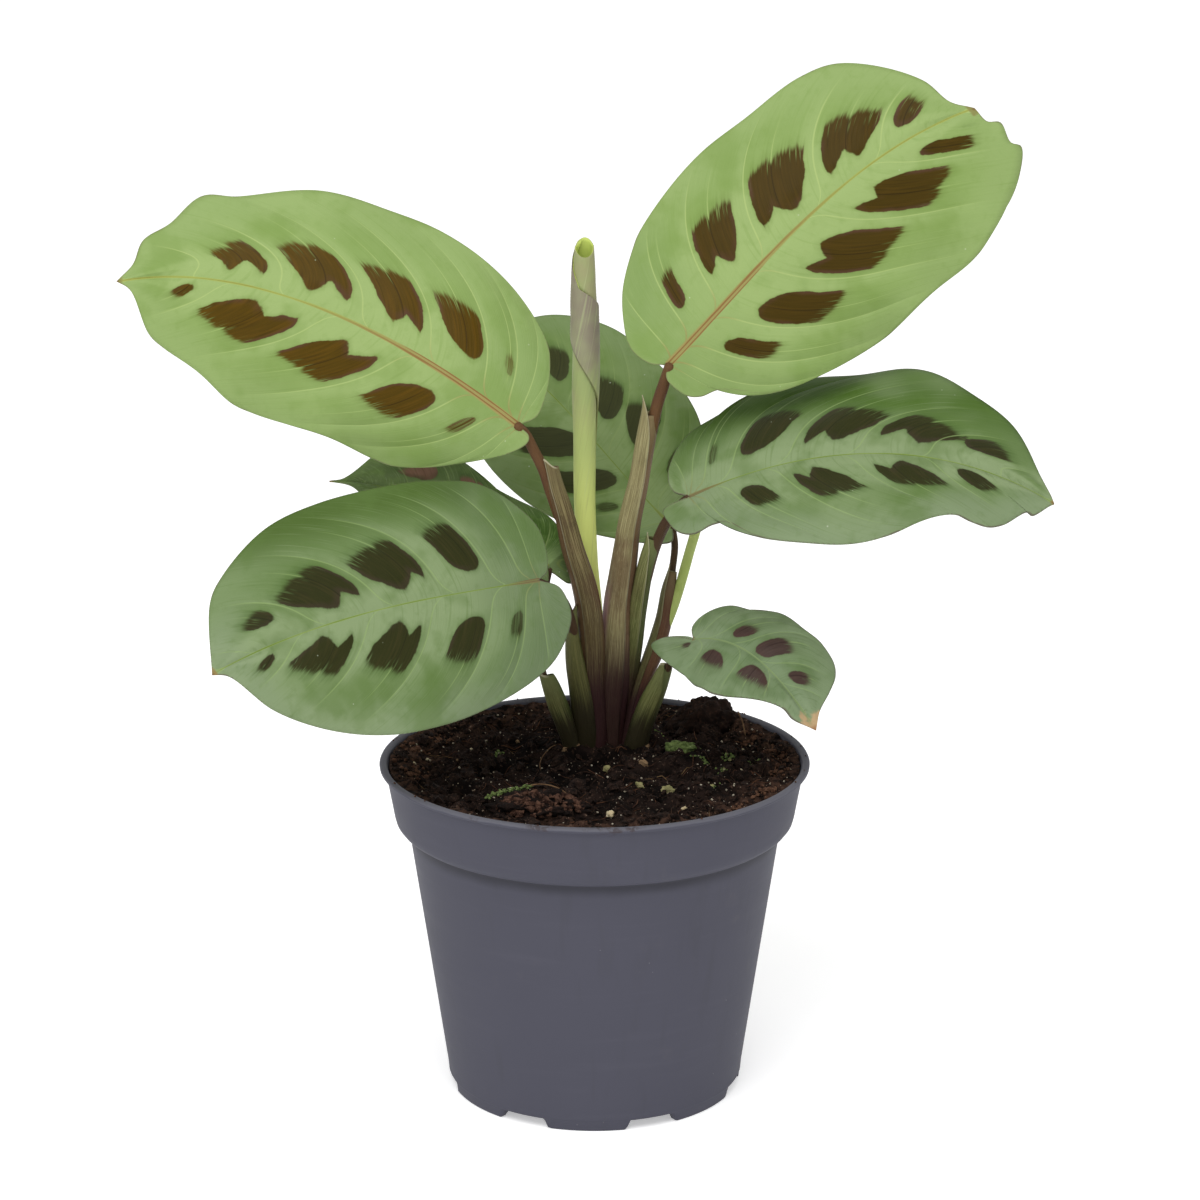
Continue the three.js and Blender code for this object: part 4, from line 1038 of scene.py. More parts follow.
# Each sheath has its look, where its free edge stands at the top and further down (in turns from the
# right by way of the front), the way it wraps from there, how far its rim falls behind the tip in
# mm and over how many turns, and its centre line.
SHEATHS = {
    "upper_left": (LEFT_SHEATH_LOOK, 0.36, 0.33, -1, 3.2, 0.13, [
        (-12.7, 11.3, 178.4, 1.9), (-12.1, 11.2, 175.5, 2.25), (-11, 11.1, 170.5, 2.5), (-8.8, 11, 163, 2.85),
        (-6, 11, 151.8, 3.4), (-3.5, 11.2, 143.4, 3.7), (-1.8, 12.2, 135, 3.75), (-1.0, 14.5, 125, 3.8),
        (-0.5, 16.6, 110, 3.9), (0.2, 18, 92.5, 3.9), (0.4, 18.5, 85, 3.6)]),
    "upper_right": (RIGHT_SHEATH_LOOK, 0.44, 0.17, 1, 5.5, 0.13, [
        (15.2, 11.4, 196, 1.9), (15.1, 11.6, 191, 2.4), (14.6, 12, 185.6, 2.85), (13.4, 12.6, 177.8, 2.95),
        (12.1, 13.3, 170, 3.1), (9.6, 15, 157.5, 3.4), (8.2, 15.8, 146, 3.95), (6.9, 17, 136, 4.3),
        (6.4, 18, 128, 4.8), (5.9, 19, 119, 5.2), (5.3, 20, 110, 5.3), (4.7, 21, 101, 5.1),
        (4.3, 22, 91.5, 4.8), (4.1, 22.5, 85, 4.4)]),
    "middle_right": (MIDDLE_SHEATH_LOOK, 0.44, 0.17, 1, 1.8, 0.16, [
        (16.9, 13, 156.3, 2.1), (16.4, 13, 153.5, 2.4), (14.4, 14, 146.5, 2.55), (12.2, 16.5, 134, 2.8),
        (10.2, 20, 117, 3.0), (8.6, 22.5, 104.5, 3.1), (7.4, 24.5, 90.5, 3.1), (6.9, 25, 85, 3.0)]),
    "lower_left": (LOW_SHEATH_LOOK, 0.04, 0.1, 1, 5.5, 0.3, [
        (-6.4, 10.6, 136.8, 1.3), (-6.2, 11, 133, 1.6), (-6.1, 12, 125.8, 2.2), (-5.2, 13, 117.2, 3.0),
        (-3.7, 14.3, 108.5, 3.6), (-2.6, 16, 98, 3.9), (-2.0, 17.5, 90, 3.7), (-1.8, 18, 85, 3.4)]),
    "back_centre": (BACK_SHEATH_LOOK, 0.42, 0.3, 1, 2.0, 0.13, [
        (22.2, 22.6, 144.5, 0.95), (21.8, 22.2, 142, 1.45), (20.8, 21.8, 137, 2.1), (19.6, 21.5, 129, 2.5),
        (18.2, 21.2, 123.5, 2.7), (16.6, 21, 118.4, 2.8), (14.3, 20.6, 112.6, 2.45), (12.3, 20.4, 106, 2.35),
        (10.3, 20, 97.5, 2.2), (9, 20, 91, 2.0), (8.5, 19.5, 85, 1.9)]),
    "back_left": (GREEN_SHEATH_LOOK, 0.5, 0.45, -1, 2.2, 0.3, [
        (-14, 10.9, 117, 1.6), (-12.7, 11.2, 113.4, 2.4), (-10.7, 12.4, 107.5, 2.9),
        (-8.3, 13.6, 100.5, 2.95), (-6.5, 14.8, 94, 2.7), (-5.2, 16.2, 85, 2.4)]),
    "small_right": (GREEN_SHEATH_LOOK, 0.34, 0.14, 1, 1.8, 0.16, [
        (20.6, 9.4, 120, 1.6), (19.6, 10.2, 117, 2.2), (18, 11.3, 112.4, 2.8), (15.8, 12.5, 107, 3.3),
        (13.8, 13.9, 101.5, 3.5), (12.3, 15.2, 96, 3.6), (11, 16.6, 90, 3.5), (10.4, 17.3, 85, 3.2)]),
}
SOIL_TOP = 91.6
WRAP_TURNS = 1.12
SHEATH_WALL = 0.28
SHEATH_ROWS, SHEATH_COLUMNS = 120, 56
# How much a sheath narrows with each turn, how uneven it is, and its ribs: their number and height.
# All but the number are shares of the radius.
SHEATH_NARROWS, SHEATH_UNEVEN, SHEATH_RIBS, SHEATH_RIB = 0.1, 0.06, 7, 0.012
TIP_LEAN = 0.5  # mm


def tube(points, rows, columns, uneven=0.02, seed=0.0):
    """A closed stem along the points."""
    route = Route(points)
    mesh, down, turn = sheet(rows, columns)
    centre, radius, side, other = route.at(down)
    cap = np.minimum(radius * 0.9 / route.length, 0.2)
    closed = np.minimum(np.minimum(down, 1 - down) / cap, 1)
    radius = radius * np.sqrt(np.maximum(closed * (2 - closed), 0))
    angle = 2 * math.pi * turn
    bulge = np.array([wobble(math.cos(a) * 1.3, math.sin(a) * 1.3, d * route.length * 0.12 + seed)
                      for a, d in zip(angle, down)])
    around = way_out(side, other, angle)
    places = centre + around * (radius * (1 + uneven * bulge))[:, None]
    lay(mesh, places)
    write(mesh, "grain", (turn, down * route.length, np.full(turn.shape, 9.0)))
    write(mesh, "level", (places[:, 2] - SOIL_TOP, down * route.length + 2, turn))
    return mesh


def clasp(points, seam_top, seam, way, rim, slope, seed):
    """A sheath: one sheet that wraps round the stem and laps over its own edge. Its top rim is highest
    at the free edge."""
    route = Route(points)
    mesh, down, wound = sheet(SHEATH_ROWS, SHEATH_COLUMNS)
    turn = wound * WRAP_TURNS
    fallen = rim * (1 - np.exp(-(turn / slope)**1.7))
    share = (fallen + down * (route.length - fallen)) / route.length
    centre, radius, side, other = route.at(share)
    edge = seam + (seam_top - seam) * np.exp(-share * route.length / 6)
    facing = edge + way * turn
    angle = 2 * math.pi * facing
    bulge = np.array([wobble(math.cos(a) * 1.6, math.sin(a) * 1.6, s * route.length * 0.1 + seed)
                      for a, s in zip(angle, share)])
    ribs = np.cos(angle * SHEATH_RIBS) * SHEATH_RIB
    radius = radius * (1 - SHEATH_NARROWS * turn + SHEATH_UNEVEN * bulge + ribs)
    around = way_out(side, other, angle)
    # The tip bends outwards a little.
    lean = TIP_LEAN * np.exp(-share * route.length / 1.6) * np.exp(-turn / 0.1)
    places = centre + around * (radius + lean)[:, None]
    lay(mesh, places)
    from_rim = (share * route.length) - fallen
    write(mesh, "grain", (facing, share * route.length, turn * 2 * math.pi * radius))
    write(mesh, "level", (places[:, 2] - SOIL_TOP, from_rim, turn))
    thicken(mesh, places - around * SHEATH_WALL)
    return mesh


def stems():
    stalks = [stem_finish("stalk_brown", STALK_LOOK), stem_finish("stalk_dark", DARK_STALK_LOOK)]
    for number, (name, points) in enumerate(STALKS.items()):
        mesh = tube(points, 48, 20, seed=number)
        finished("stalk_" + name, mesh, [stalks[name in DARK_STALKS]], ["petiole_" + name])
    finishes = {}
    for number, (name, (look, top, seam, way, rim, slope, points)) in enumerate(SHEATHS.items()):
        if id(look) not in finishes:
            finishes[id(look)] = stem_finish("sheath_%d" % (len(finishes) + 1), look)
        mesh = clasp(points, top, seam, way, rim, slope, 10 + number)
        finished("clasp_" + name, mesh, [finishes[id(look)]], ["sheath_" + name])


# ---- rolled leaf and spear ---------------------------------------------------------------------
ROLL_ROUTE = [
    (-2.6, 22, 235, 4.5), (-2.65, 22, 229, 4.65), (-2.6, 22, 222, 4.7), (-2.45, 22, 214, 4.6),
    (-2.5, 22, 206, 4.35), (-2.65, 22, 192, 3.95), (-2.65, 22.5, 177.5, 3.6), (-2.6, 23, 160, 3.35),
    (-1.5, 24, 145.5, 2.8), (0.5, 25, 130.5, 2.1), (2.5, 27, 109, 1.9), (3, 28, 89.5, 1.7),
    (3, 28.5, 85, 1.6),
]
# Where the outer edge of the roll stands, in turns from the left side by way of the front,
# against the distance from the top in mm.
ROLL_EDGE = [(0, -0.2), (5.9, 0.0), (9.9, 0.07), (15.3, 0.37), (18.5, 0.5), (25.5, 1.0), (27.5, 1.07),
             (42.8, 1.45), (47, 1.52), (90, 1.75), (155, 1.95)]
ROLL_TURNS = 2.1
ROLL_WALL = 0.3
# How far in the free end is tucked, down to where from the top, and over what length it comes out.
TUCK_DEPTH, TUCK_END, TUCK_FADE = 1.45, 26, 10
# How far down the slant of the top reaches; how much lower the inner turn stands, and how far down it
# is drawn; how far down the inner side is lit. All in mm.
SLANT_REACH, INNER_DEPTH, INNER_REACH, LIT_INSIDE = 12, 16, 40, 14


def roll_finish():
    """The rolled leaf. "grain" is as on a stem, and "level" is mm above the soil (x) and 1 on the inner
    side of its top (y)."""
    finish = Finish("rolled_leaf")
    turn, down, from_edge = finish.attribute("grain")
    height, inner, _ = finish.attribute("level")
    veins = finish.noise(finish.join(turn * 26.0 + down * 0.22, down * 0.02), 1.0, 2.0)
    fine = finish.noise(finish.join(turn * 70.0 + down * 0.6, down * 0.05, 3.0), 1.0, 2.0)
    cloudy = finish.noise(finish.place(), 90.0, 2.0)
    upper = finish.blend(shade(158, 172, 112), shade(160, 160, 116), cloudy.rise(0.4, 0.65))
    flush = finish.blend(shade(152, 148, 122), shade(140, 128, 116), cloudy.rise(0.35, 0.6))
    middle = finish.blend(shade(176, 190, 116), shade(184, 198, 122), cloudy)
    # The lower part is pale, and painted lighter still, as painted light where the leaves above shade it.
    lower = finish.blend(shade(240, 250, 146), shade(226, 238, 132), cloudy)
    colour = finish.blend(lower, middle, height.rise(58.0, 92.0))
    colour = finish.blend(colour, upper, (height + (veins - 0.5) * 14.0).rise(88.0, 108.0))
    outer = turn.rise(0.5, 0.7) * turn.rise(1.9, 1.7) * (height + (veins - 0.5) * 22.0).rise(96.0, 118.0)
    colour = finish.blend(colour, flush, outer * 0.85)
    colour = finish.layers(colour, [
        (shade(182, 192, 142), veins.rise(0.58, 0.7) * 0.4),
        (shade(116, 112, 84), fine.rise(0.56, 0.76) * 0.3),
        # A painted shadow line along the free edge, where it laps over the turn beneath.
        (shade(112, 112, 66), from_edge.rise(0.5, 0.12) * 0.6),
        (shade(205, 222, 112), inner.rise(0.3, 0.7)),
    ])
    normal = finish.bump(veins * 0.7 + fine * 0.5 + cloudy * 0.4, 0.0003, 0.6)
    return finish.surface(colour, 0.55, normal, Specular_IOR_Level=0.16)


def rolled_leaf():
    """A blade rolled up on itself: one sheet that winds inwards from its outer edge."""
    route = Route(ROLL_ROUTE)
    mesh, down, wound = sheet(170, 100)
    centre, radius, *_ = route.at(down)
    from_top = down * route.length
    turn = np.interp(from_top, *zip(*ROLL_EDGE)) + wound * ROLL_TURNS
    angle = math.pi + 2 * math.pi * turn
    across = np.stack([np.cos(angle), np.sin(angle), np.zeros_like(angle)], axis=-1)
    inward = (0.62 + 0.35 * (1 - np.clip(from_top / 60, 0, 1))) * wound * ROLL_TURNS
    lapped = 0.2 * np.exp(-wound * ROLL_TURNS * 2 * math.pi * radius / 1.2)
    radius = np.maximum(radius - inward - lapped, radius * 0.2)
    # Near the top the free end of the blade is tucked inside.
    tucked = np.clip((0.8 - turn) / 0.3, 0, 1) * np.clip((TUCK_END - from_top) / TUCK_FADE, 0, 1)
    radius = radius - TUCK_DEPTH * tucked
    ruffle = np.array([wobble(a * 0.7, d * 11, 3.3) for a, d in zip(turn, down)]) * 0.22
    places = centre + across * (radius + ruffle)[:, None]
    # The top is cut on a slant, high at the back, and the inner turn stands lower inside it.
    back = np.sin(angle)
    near_top = np.clip(1 - from_top / SLANT_REACH, 0, 1)
    places[:, 2] += near_top * np.where(back > 0, 2.1 * np.abs(back)**3, 2.5 * back)
    inside = np.clip((wound - 0.5) / 0.16, 0, 1)
    drop = INNER_DEPTH * inside**2 * (3 - 2 * inside)
    places[:, 2] -= drop * np.clip(1 - from_top / INNER_REACH, 0, 1)
    lay(mesh, places)
    write(mesh, "grain", (turn, from_top, wound * ROLL_TURNS * 2 * math.pi * radius))
    write(mesh, "level", (places[:, 2] - SOIL_TOP, np.zeros_like(down), wound))
    copies = thicken(mesh, places - across * ROLL_WALL)
    level = mesh.verts.layers.float_vector["level"]
    for vertex, source in copies:
        inside_top = 1.0 if from_top[source] < LIT_INSIDE else 0.0
        vertex[level] = (vertex[level][0], inside_top, vertex[level][2])
    finished("roll", mesh, [roll_finish()], ["rolled_leaf"])

    spear = [(34.2, 28, 174.5, 0.8), (30.8, 25.5, 162, 1.35), (26.8, 23, 148.5, 1.4), (22.4, 21.1, 133, 1.35),
             (19.4, 21.4, 124, 1.1)]
    mesh = tube(spear, 60, 24, uneven=0.05)
    finished("spear", mesh, [stem_finish("spear_green", YOUNG_LOOK)], ["young_spear"])


# ---- pot ---------------------------------------------------------------------------------------
FOOT_COUNT = 7
FIRST_GAP = math.radians(22.8)
GAP_HALF_LOW = math.radians(10.6)
GAP_HALF_HIGH = math.radians(8.8)
GAP_HEIGHT = 2.9
DRAIN_RADIUS = 4
DRAIN_RING_RADIUS = 30
POT_STEPS = 336
FOOT_LIMIT = 41.45  # mm from the axis: only the foot ring is nearer
FLOOR_LIMIT = 5  # mm: both sides of the floor are lower
# From the middle of the floor's underside, out round the foot, up to the lip and back down inside.
POT_SECTION = [
    (0, 3.2), (16, 3.2), *((radius, 3.2) for radius in np.arange(25, 35.5, 1.0)), (38.7, 3.2),
    (38.7, 0.35), (38.9, 0.0), (40.8, 0.0), (41.15, 0.4), (41.4, 2.9), (41.5, 3.15), (41.62, 3.3),
    (41.62, 3.5), (41.9, 6.2), (46.8, 40.0), (51.95, 75.0), (52.2, 75.6), (52.6, 76.0), (53.6, 76.35),
    (54.7, 77.1), (55.6, 78.3), (56.0, 79.8), (57.2, 86.6), (58.3, 92.5), (58.45, 93.0), (58.9, 93.3),
    (59.6, 93.35), (59.95, 93.65), (60.0, 94.1), (59.8, 94.5), (59.3, 94.7), (58.3, 94.65), (57.9, 94.2),
    (57.2, 92.4), (54.8, 79.7), (52.9, 77.4), (51.2, 76.3), (50.9, 75.6), (45.6, 40.0), (40.8, 6.6),
    (39.9, 4.9), (38.5, 4.4), *((radius, 4.4) for radius in np.arange(35, 24.5, -1.0)), (16, 4.4), (0, 4.4),
]


def pot_finish():
    finish = Finish("pot_plastic")
    place = finish.place()
    height = finish.part(place, "Z")
    cloudy = finish.noise(place, 14.0, 3.0)
    scuffs = finish.noise(finish.scaled(place, (30.0, 30.0, 340.0)), 1.0, 3.0)
    upright = finish.noise(finish.scaled(place, (210.0, 210.0, 9.0)), 1.0, 2.0)
    grain = finish.noise(place, 900.0, 2.0)
    dust = finish.noise(place, 70.0, 4.0)
    specks = finish.cells(place, 260.0)
    colour = finish.blend(shade(79, 79, 90), shade(86, 86, 98), cloudy)
    colour = finish.layers(colour, [
        (shade(96, 96, 106), scuffs.rise(0.52, 0.8) * 0.2),
        (shade(76, 76, 84), upright.rise(0.55, 0.75) * 0.25),
        (shade(104, 102, 104), dust.rise(0.62, 0.82) * 0.3),
        (shade(150, 148, 148), specks.rise(0.05, 0.03) * cloudy.rise(0.5, 0.62) * 0.7),
    ])
    # Painted shade in a band under the collar.
    tucked = (height + (dust - 0.5) * 0.002).rise(0.0715, 0.0755) * height.rise(0.0764, 0.0757)
    colour = finish.blend(colour, shade(58, 58, 64), tucked * 0.75)
    # A painted highlight along the top of the lip.
    lip = (height + (dust - 0.5) * 0.001).rise(0.0938, 0.0943)
    colour = finish.blend(colour, shade(112, 112, 120), lip * 0.7)
    soiled = height.rise(0.0915, 0.0935) * dust.rise(0.56, 0.66) * grain.rise(0.4, 0.55)
    colour = finish.blend(colour, shade(58, 42, 34), soiled * 0.6)
    roughness = 0.56 + (scuffs - 0.5) * 0.12 + (dust - 0.5) * 0.1
    normal = finish.bump(grain * 0.5 + scuffs * 0.5 + upright * 0.4, 0.00006, 0.6)
    return finish.surface(colour, roughness, normal, Specular_IOR_Level=0.08)


def foot_gap(turn):
    """How far a point of the foot ring is inside a gap: 0 on a foot, 1 in the gap."""
    spacing = 2 * math.pi / FOOT_COUNT
    offset = abs((turn - FIRST_GAP + spacing / 2) % spacing - spacing / 2)
    return min(max((GAP_HALF_LOW - offset) / (GAP_HALF_LOW - GAP_HALF_HIGH), 0), 1)


def pot():
    """One section spun round the axis, then the gaps in the foot and the drain holes."""
    mesh = bmesh.new()
    ring = [mesh.verts.new((radius, 0, z)) for radius, z in POT_SECTION]
    edges = [mesh.edges.new(pair) for pair in zip(ring, ring[1:])]
    bmesh.ops.spin(mesh, geom=ring + edges, cent=(0, 0, 0), axis=(0, 0, 1), angle=2 * math.pi,
                   steps=POT_STEPS, use_merge=True)
    bmesh.ops.remove_doubles(mesh, verts=mesh.verts, dist=0.002)
    for vertex in mesh.verts:
        reach = math.hypot(vertex.co.x, vertex.co.y)
        if vertex.co.z < GAP_HEIGHT and reach < FOOT_LIMIT:
            turn = math.atan2(vertex.co.x, -vertex.co.y)
            vertex.co.z = max(vertex.co.z, GAP_HEIGHT * foot_gap(turn) + vertex.co.z * 0.1)
    for number in range(FOOT_COUNT):
        drain_hole(mesh, FIRST_GAP + 2 * math.pi * (number + 0.5) / FOOT_COUNT)
    for vertex in mesh.verts:
        vertex.co = vertex.co * MM + POT_AXIS
    finished("nursery_pot", mesh, [pot_finish()], ["pot"], merge=2e-6)


def drain_hole(mesh, turn):
    """Opens both sides of the floor at one place, rounds the openings and joins them by a wall."""
    hole = Vector((math.sin(turn), -math.cos(turn), 0)) * DRAIN_RING_RADIUS
    middles = [(face, face.calc_center_median()) for face in mesh.faces]
    covered = [face for face, middle in middles
               if middle.z < FLOOR_LIMIT and (grounded(middle) - hole).length < DRAIN_RADIUS]
    before = {edge for edge in mesh.edges if edge.is_boundary}
    bmesh.ops.delete(mesh, geom=covered, context="FACES")
    rims = [edge for edge in mesh.edges if edge.is_boundary and edge not in before]
    for vertex in {vertex for edge in rims for vertex in edge.verts}:
        away = (grounded(vertex.co) - hole).normalized() * DRAIN_RADIUS
        vertex.co = hole + away + Vector((0, 0, vertex.co.z))
    bmesh.ops.bridge_loops(mesh, edges=rims)


def grounded(place):
    """The place at height 0."""
    return Vector((place.x, place.y, 0))


# ---- soil --------------------------------------------------------------------------------------
SOIL_RADIUS = 57.3
LIP_RADIUS, LIP_HEIGHT = 59, 94.85
CROWN = (4, 19)
# Hollows in the soil: place and depth in mm, and how far they spread along x and y, in square mm.
HOLLOWS = [(-6, -9, 2.6, 90, 60), (-26, 2, 1.8, 70, 60)]
# Radius and height in mm of the rings under the rim of the soil, which follow the inside of the pot.
SKIRT = [(53.9, 79.8), (52.2, 77.4), (50.2, 75.6), (39.6, 5.4)]
CRUMB_LIMIT = 56  # mm from the axis
# Where reddish crumbs lie near the lip: place, spread and number.
RED_PATCHES = [
    (46.7, -25.0, 2.6, 60), (51.5, -4.0, 2.6, 50), (50.0, 10.0, 3.0, 40), (39.0, -37.0, 2.0, 16),
    (-50.5, 12.0, 3.0, 40), (-50.0, -6.0, 3.4, 46), (-44.0, 24.0, 3.0, 30), (44.0, 24.0, 3.0, 30),
]
# Where bits of moss lie on the soil: place, spread and number.
MOSS_PATCHES = [
    (24.3, 13.4, 3.6, 90), (30.0, 6.0, 3.0, 26), (36.0, -3.5, 2.4, 18), (32.0, -15.9, 1.6, 14),
    (18.7, 26.0, 1.8, 14), (-27.9, 13.0, 2.0, 18), (42.0, 0.0, 3.0, 14), (-31.0, -28.5, 1.2, 9),
    (38.5, 9.0, 3.4, 26), (45.0, 5.0, 3.0, 20),
]
LUMPS = {
    "peat": ((33, 38, 93), (8, 6.5, 7)),
    "bark": ((-14.5, -38, 92.6), (11.5, 6.5, 4.4)),
    "moss": ((24.2, 13.5, 93), (4.6, 3.0, 1.7)),
}


def clods(x, y, size):
    """Rounded lumps of about this size in mm: from -1 in the cracks to 1 on top."""
    return 1 - 2 * noise.voronoi(Vector((x / size, y / size, size)))[0][0]


def soil_height(x, y):
    """Height of the soil in mm: it meets the lip, mounds up at the crown and is lumpy between."""
    reach = math.hypot(x, y)
    height = SOIL_TOP + 1.6 * math.exp(-((x - CROWN[0])**2 + (y - CROWN[1])**2) / 200)
    height += 1.9 * max(0.0, (reach - 44) / 13)**1.5
    for middle_x, middle_y, depth, wide, long in HOLLOWS:
        height -= depth * math.exp(-((x - middle_x)**2 / wide + (y - middle_y)**2 / long))
    calm = min(1.0, (SOIL_RADIUS - reach) / 5)
    rough = 2.2 * wobble(x * 0.08, y * 0.08, 2.0) + 1.9 * wobble(x * 0.2, y * 0.2, 7.0)
    rough += 1.0 * clods(x + wobble(x * 0.3, y * 0.3, 1.0), y, 6.5) + 0.55 * clods(x, y, 2.6)
    rough += 0.6 * wobble(x * 0.9, y * 0.9, 19.0) + 0.3 * wobble(x * 2.2, y * 2.2, 29.0)
    return height + rough * (0.35 + 0.65 * calm)


def soil_finish():
    finish = Finish("potting_soil")
    place = finish.place()
    coarse = finish.noise(place, 90.0, 4.0, 0.6)
    crumb = finish.noise(place, 420.0, 4.0, 0.65)
    fibres = finish.noise(finish.scaled(place, (1500.0, 260.0, 600.0)), 1.0, 3.0)
    other = finish.noise(finish.scaled(place, (300.0, 1300.0, 600.0)), 1.0, 3.0)
    reddish = finish.noise(place, 34.0, 2.0)
    reach, height, _ = finish.attribute("ground")
    # Painted shade in the low parts of the soil.
    low = (height + (coarse - 0.5) * 3.0).rise(92.4, 89.6)
    outer = (reach + (reddish - 0.5) * 22.0).rise(38.0, 52.0)
    colour = finish.blend(shade(17, 12, 10), shade(38, 28, 24), coarse.rise(0.42, 0.6))
    colour = finish.layers(colour, [
        (shade(74, 54, 44), outer * crumb.rise(0.42, 0.58) * 0.9),
        (shade(104, 82, 70), crumb.rise(0.6, 0.72) * 0.7),
        (shade(112, 84, 66), fibres.rise(0.64, 0.76) * 0.5),
        (shade(88, 62, 48), other.rise(0.64, 0.76) * 0.45),
        (shade(10, 7, 6), low * 0.8),
    ])
    glint = finish.noise(place, 1100.0, 2.0)
    colour = finish.blend(colour, shade(176, 156, 136), glint.rise(0.68, 0.74) * 0.8)
    normal = finish.bump(crumb + fibres * 0.5, 0.001, 1.0)
    return finish.surface(colour, 0.92, normal, Specular_IOR_Level=0.06)


def grain_finish(name, first, second, third, scale=300.0):
    """A rough, speckled natural surface in three screen colours."""
    finish = Finish(name)
    first, second, third = (shade(*tone) for tone in (first, second, third))
    place = finish.place()
    broad = finish.noise(place, scale, 3.0)
    fine = finish.noise(place, scale * 4, 3.0, 0.6)
    colour = finish.blend(first, second, broad.rise(0.35, 0.65))
    colour = finish.blend(colour, third, fine.rise(0.55, 0.75) * 0.6)
    normal = finish.bump(broad * 0.5 + fine, 0.0005, 0.8)
    return finish.surface(colour, 0.88, normal, Specular_IOR_Level=0.1)


def soil():
    mesh, first, second = sheet(290, 290)
    # The square grid is drawn out to a disc.
    a, b = 2 * first - 1, 2 * second - 1
    x = SOIL_RADIUS * a * np.sqrt(1 - b**2 / 2)
    y = SOIL_RADIUS * b * np.sqrt(1 - a**2 / 2)
    z = np.array([soil_height(*point) for point in zip(x, y)])
    lay(mesh, np.stack([x, y, z], axis=-1))
    write(mesh, "ground", (np.hypot(x, y), z, x))
    # A skirt runs down inside the wall and closes at the bottom.
    rim = [edge for edge in mesh.edges if edge.is_boundary]
    for radius, z in SKIRT:
        made = bmesh.ops.extrude_edge_only(mesh, edges=rim)["geom"]
        rim = [part for part in made if isinstance(part, bmesh.types.BMEdge)]
        for vertex in (part for part in made if isinstance(part, bmesh.types.BMVert)):
            vertex.co = grounded(vertex.co - POT_AXIS).normalized() * radius * MM + POT_AXIS
            vertex.co.z = z * MM
    bmesh.ops.contextual_create(mesh, geom=rim)
    finished("soil_body", mesh, [soil_finish()], ["soil"])


def stone(mesh, place, size, squash, spin, subdivisions, rough, seed):
    """Adds one uneven pebble or crumb to the mesh."""
    made = bmesh.ops.create_icosphere(mesh, subdivisions=subdivisions, radius=1.0)["verts"]
    turn = Matrix.Rotation(spin, 3, Vector((0.3, 0.5, 0.8)).normalized())
    for vertex in made:
        push = 1 + rough * wobble(vertex.co.x * 1.7 + seed, vertex.co.y * 1.7, vertex.co.z * 1.7)
        shape = turn @ Vector(a * b * push for a, b in zip(vertex.co, squash))
        vertex.co = (shape * size + Vector(place)) * MM + POT_AXIS


def crumb(mesh, draw, place, sizes, squash=(1, 0.8, 0.7), rough=0.5):
    """Adds one small crumb with a random size and turn."""
    stone(mesh, place, draw.uniform(*sizes), squash, draw.uniform(0, 6), 1, rough, draw.uniform(0, 90))


def scatter(count, draw, limit=53.0):
    """Points spread evenly over the soil, up to the limit from the axis."""
    for _ in range(count):
        reach = math.sqrt(draw.uniform(0, limit**2))
        turn = draw.uniform(0, 2 * math.pi)
        x, y = reach * math.cos(turn), reach * math.sin(turn)
        yield x, y, soil_height(x, y)


def crumbs():
    draw = random.Random(4)
    mesh = bmesh.new()
    for x, y, z in scatter(1400, draw, 55.5):
        size = draw.choice((0.4, 0.5, 0.6, 0.8, 1.1)) * draw.uniform(0.7, 1.3)
        squash = (1, draw.uniform(0.6, 1), draw.uniform(0.5, 0.9))
        stone(mesh, (x, y, z + size * 0.15), size, squash, draw.uniform(0, 6), 1, 0.5, draw.uniform(0, 90))
    for x, y, z in scatter(130, draw, 54):
        size = draw.uniform(1.4, 3.0)
        squash = (1, draw.uniform(0.6, 0.9), draw.uniform(0.4, 0.8))
        stone(mesh, (x, y, z), size, squash, draw.uniform(0, 6), 2, 0.9, draw.uniform(0, 90))
    material = grain_finish("soil_crumbs", (20, 14, 12), (46, 33, 27), (118, 92, 76), 700.0)
    finished("soil_crumbs", mesh, [material], smooth=False, merge=None)

    # Reddish crumbs near the lip, and a few that lie on the lip itself.
    mesh = bmesh.new()
    for x, y, spread, count in RED_PATCHES:
        for _ in range(count):
            px, py = x + draw.gauss(0, spread * 0.6), y + draw.gauss(0, spread)
            reach = math.hypot(px, py)
            if reach > CRUMB_LIMIT:
                px, py = px * CRUMB_LIMIT / reach, py * CRUMB_LIMIT / reach
            crumb(mesh, draw, (px, py, soil_height(px, py) + 0.4), (0.35, 0.95), rough=0.6)
    for _ in range(26):
        turn = draw.uniform(0, 2 * math.pi)
        place = (LIP_RADIUS * math.cos(turn), LIP_RADIUS * math.sin(turn), LIP_HEIGHT)
        crumb(mesh, draw, place, (0.18, 0.42), (1, 0.8, 0.6), 0.6)
    material = grain_finish("red_crumbs", (74, 50, 38), (108, 78, 60), (146, 114, 92), 700.0)
    finished("red_crumbs", mesh, [material], smooth=False, merge=None)


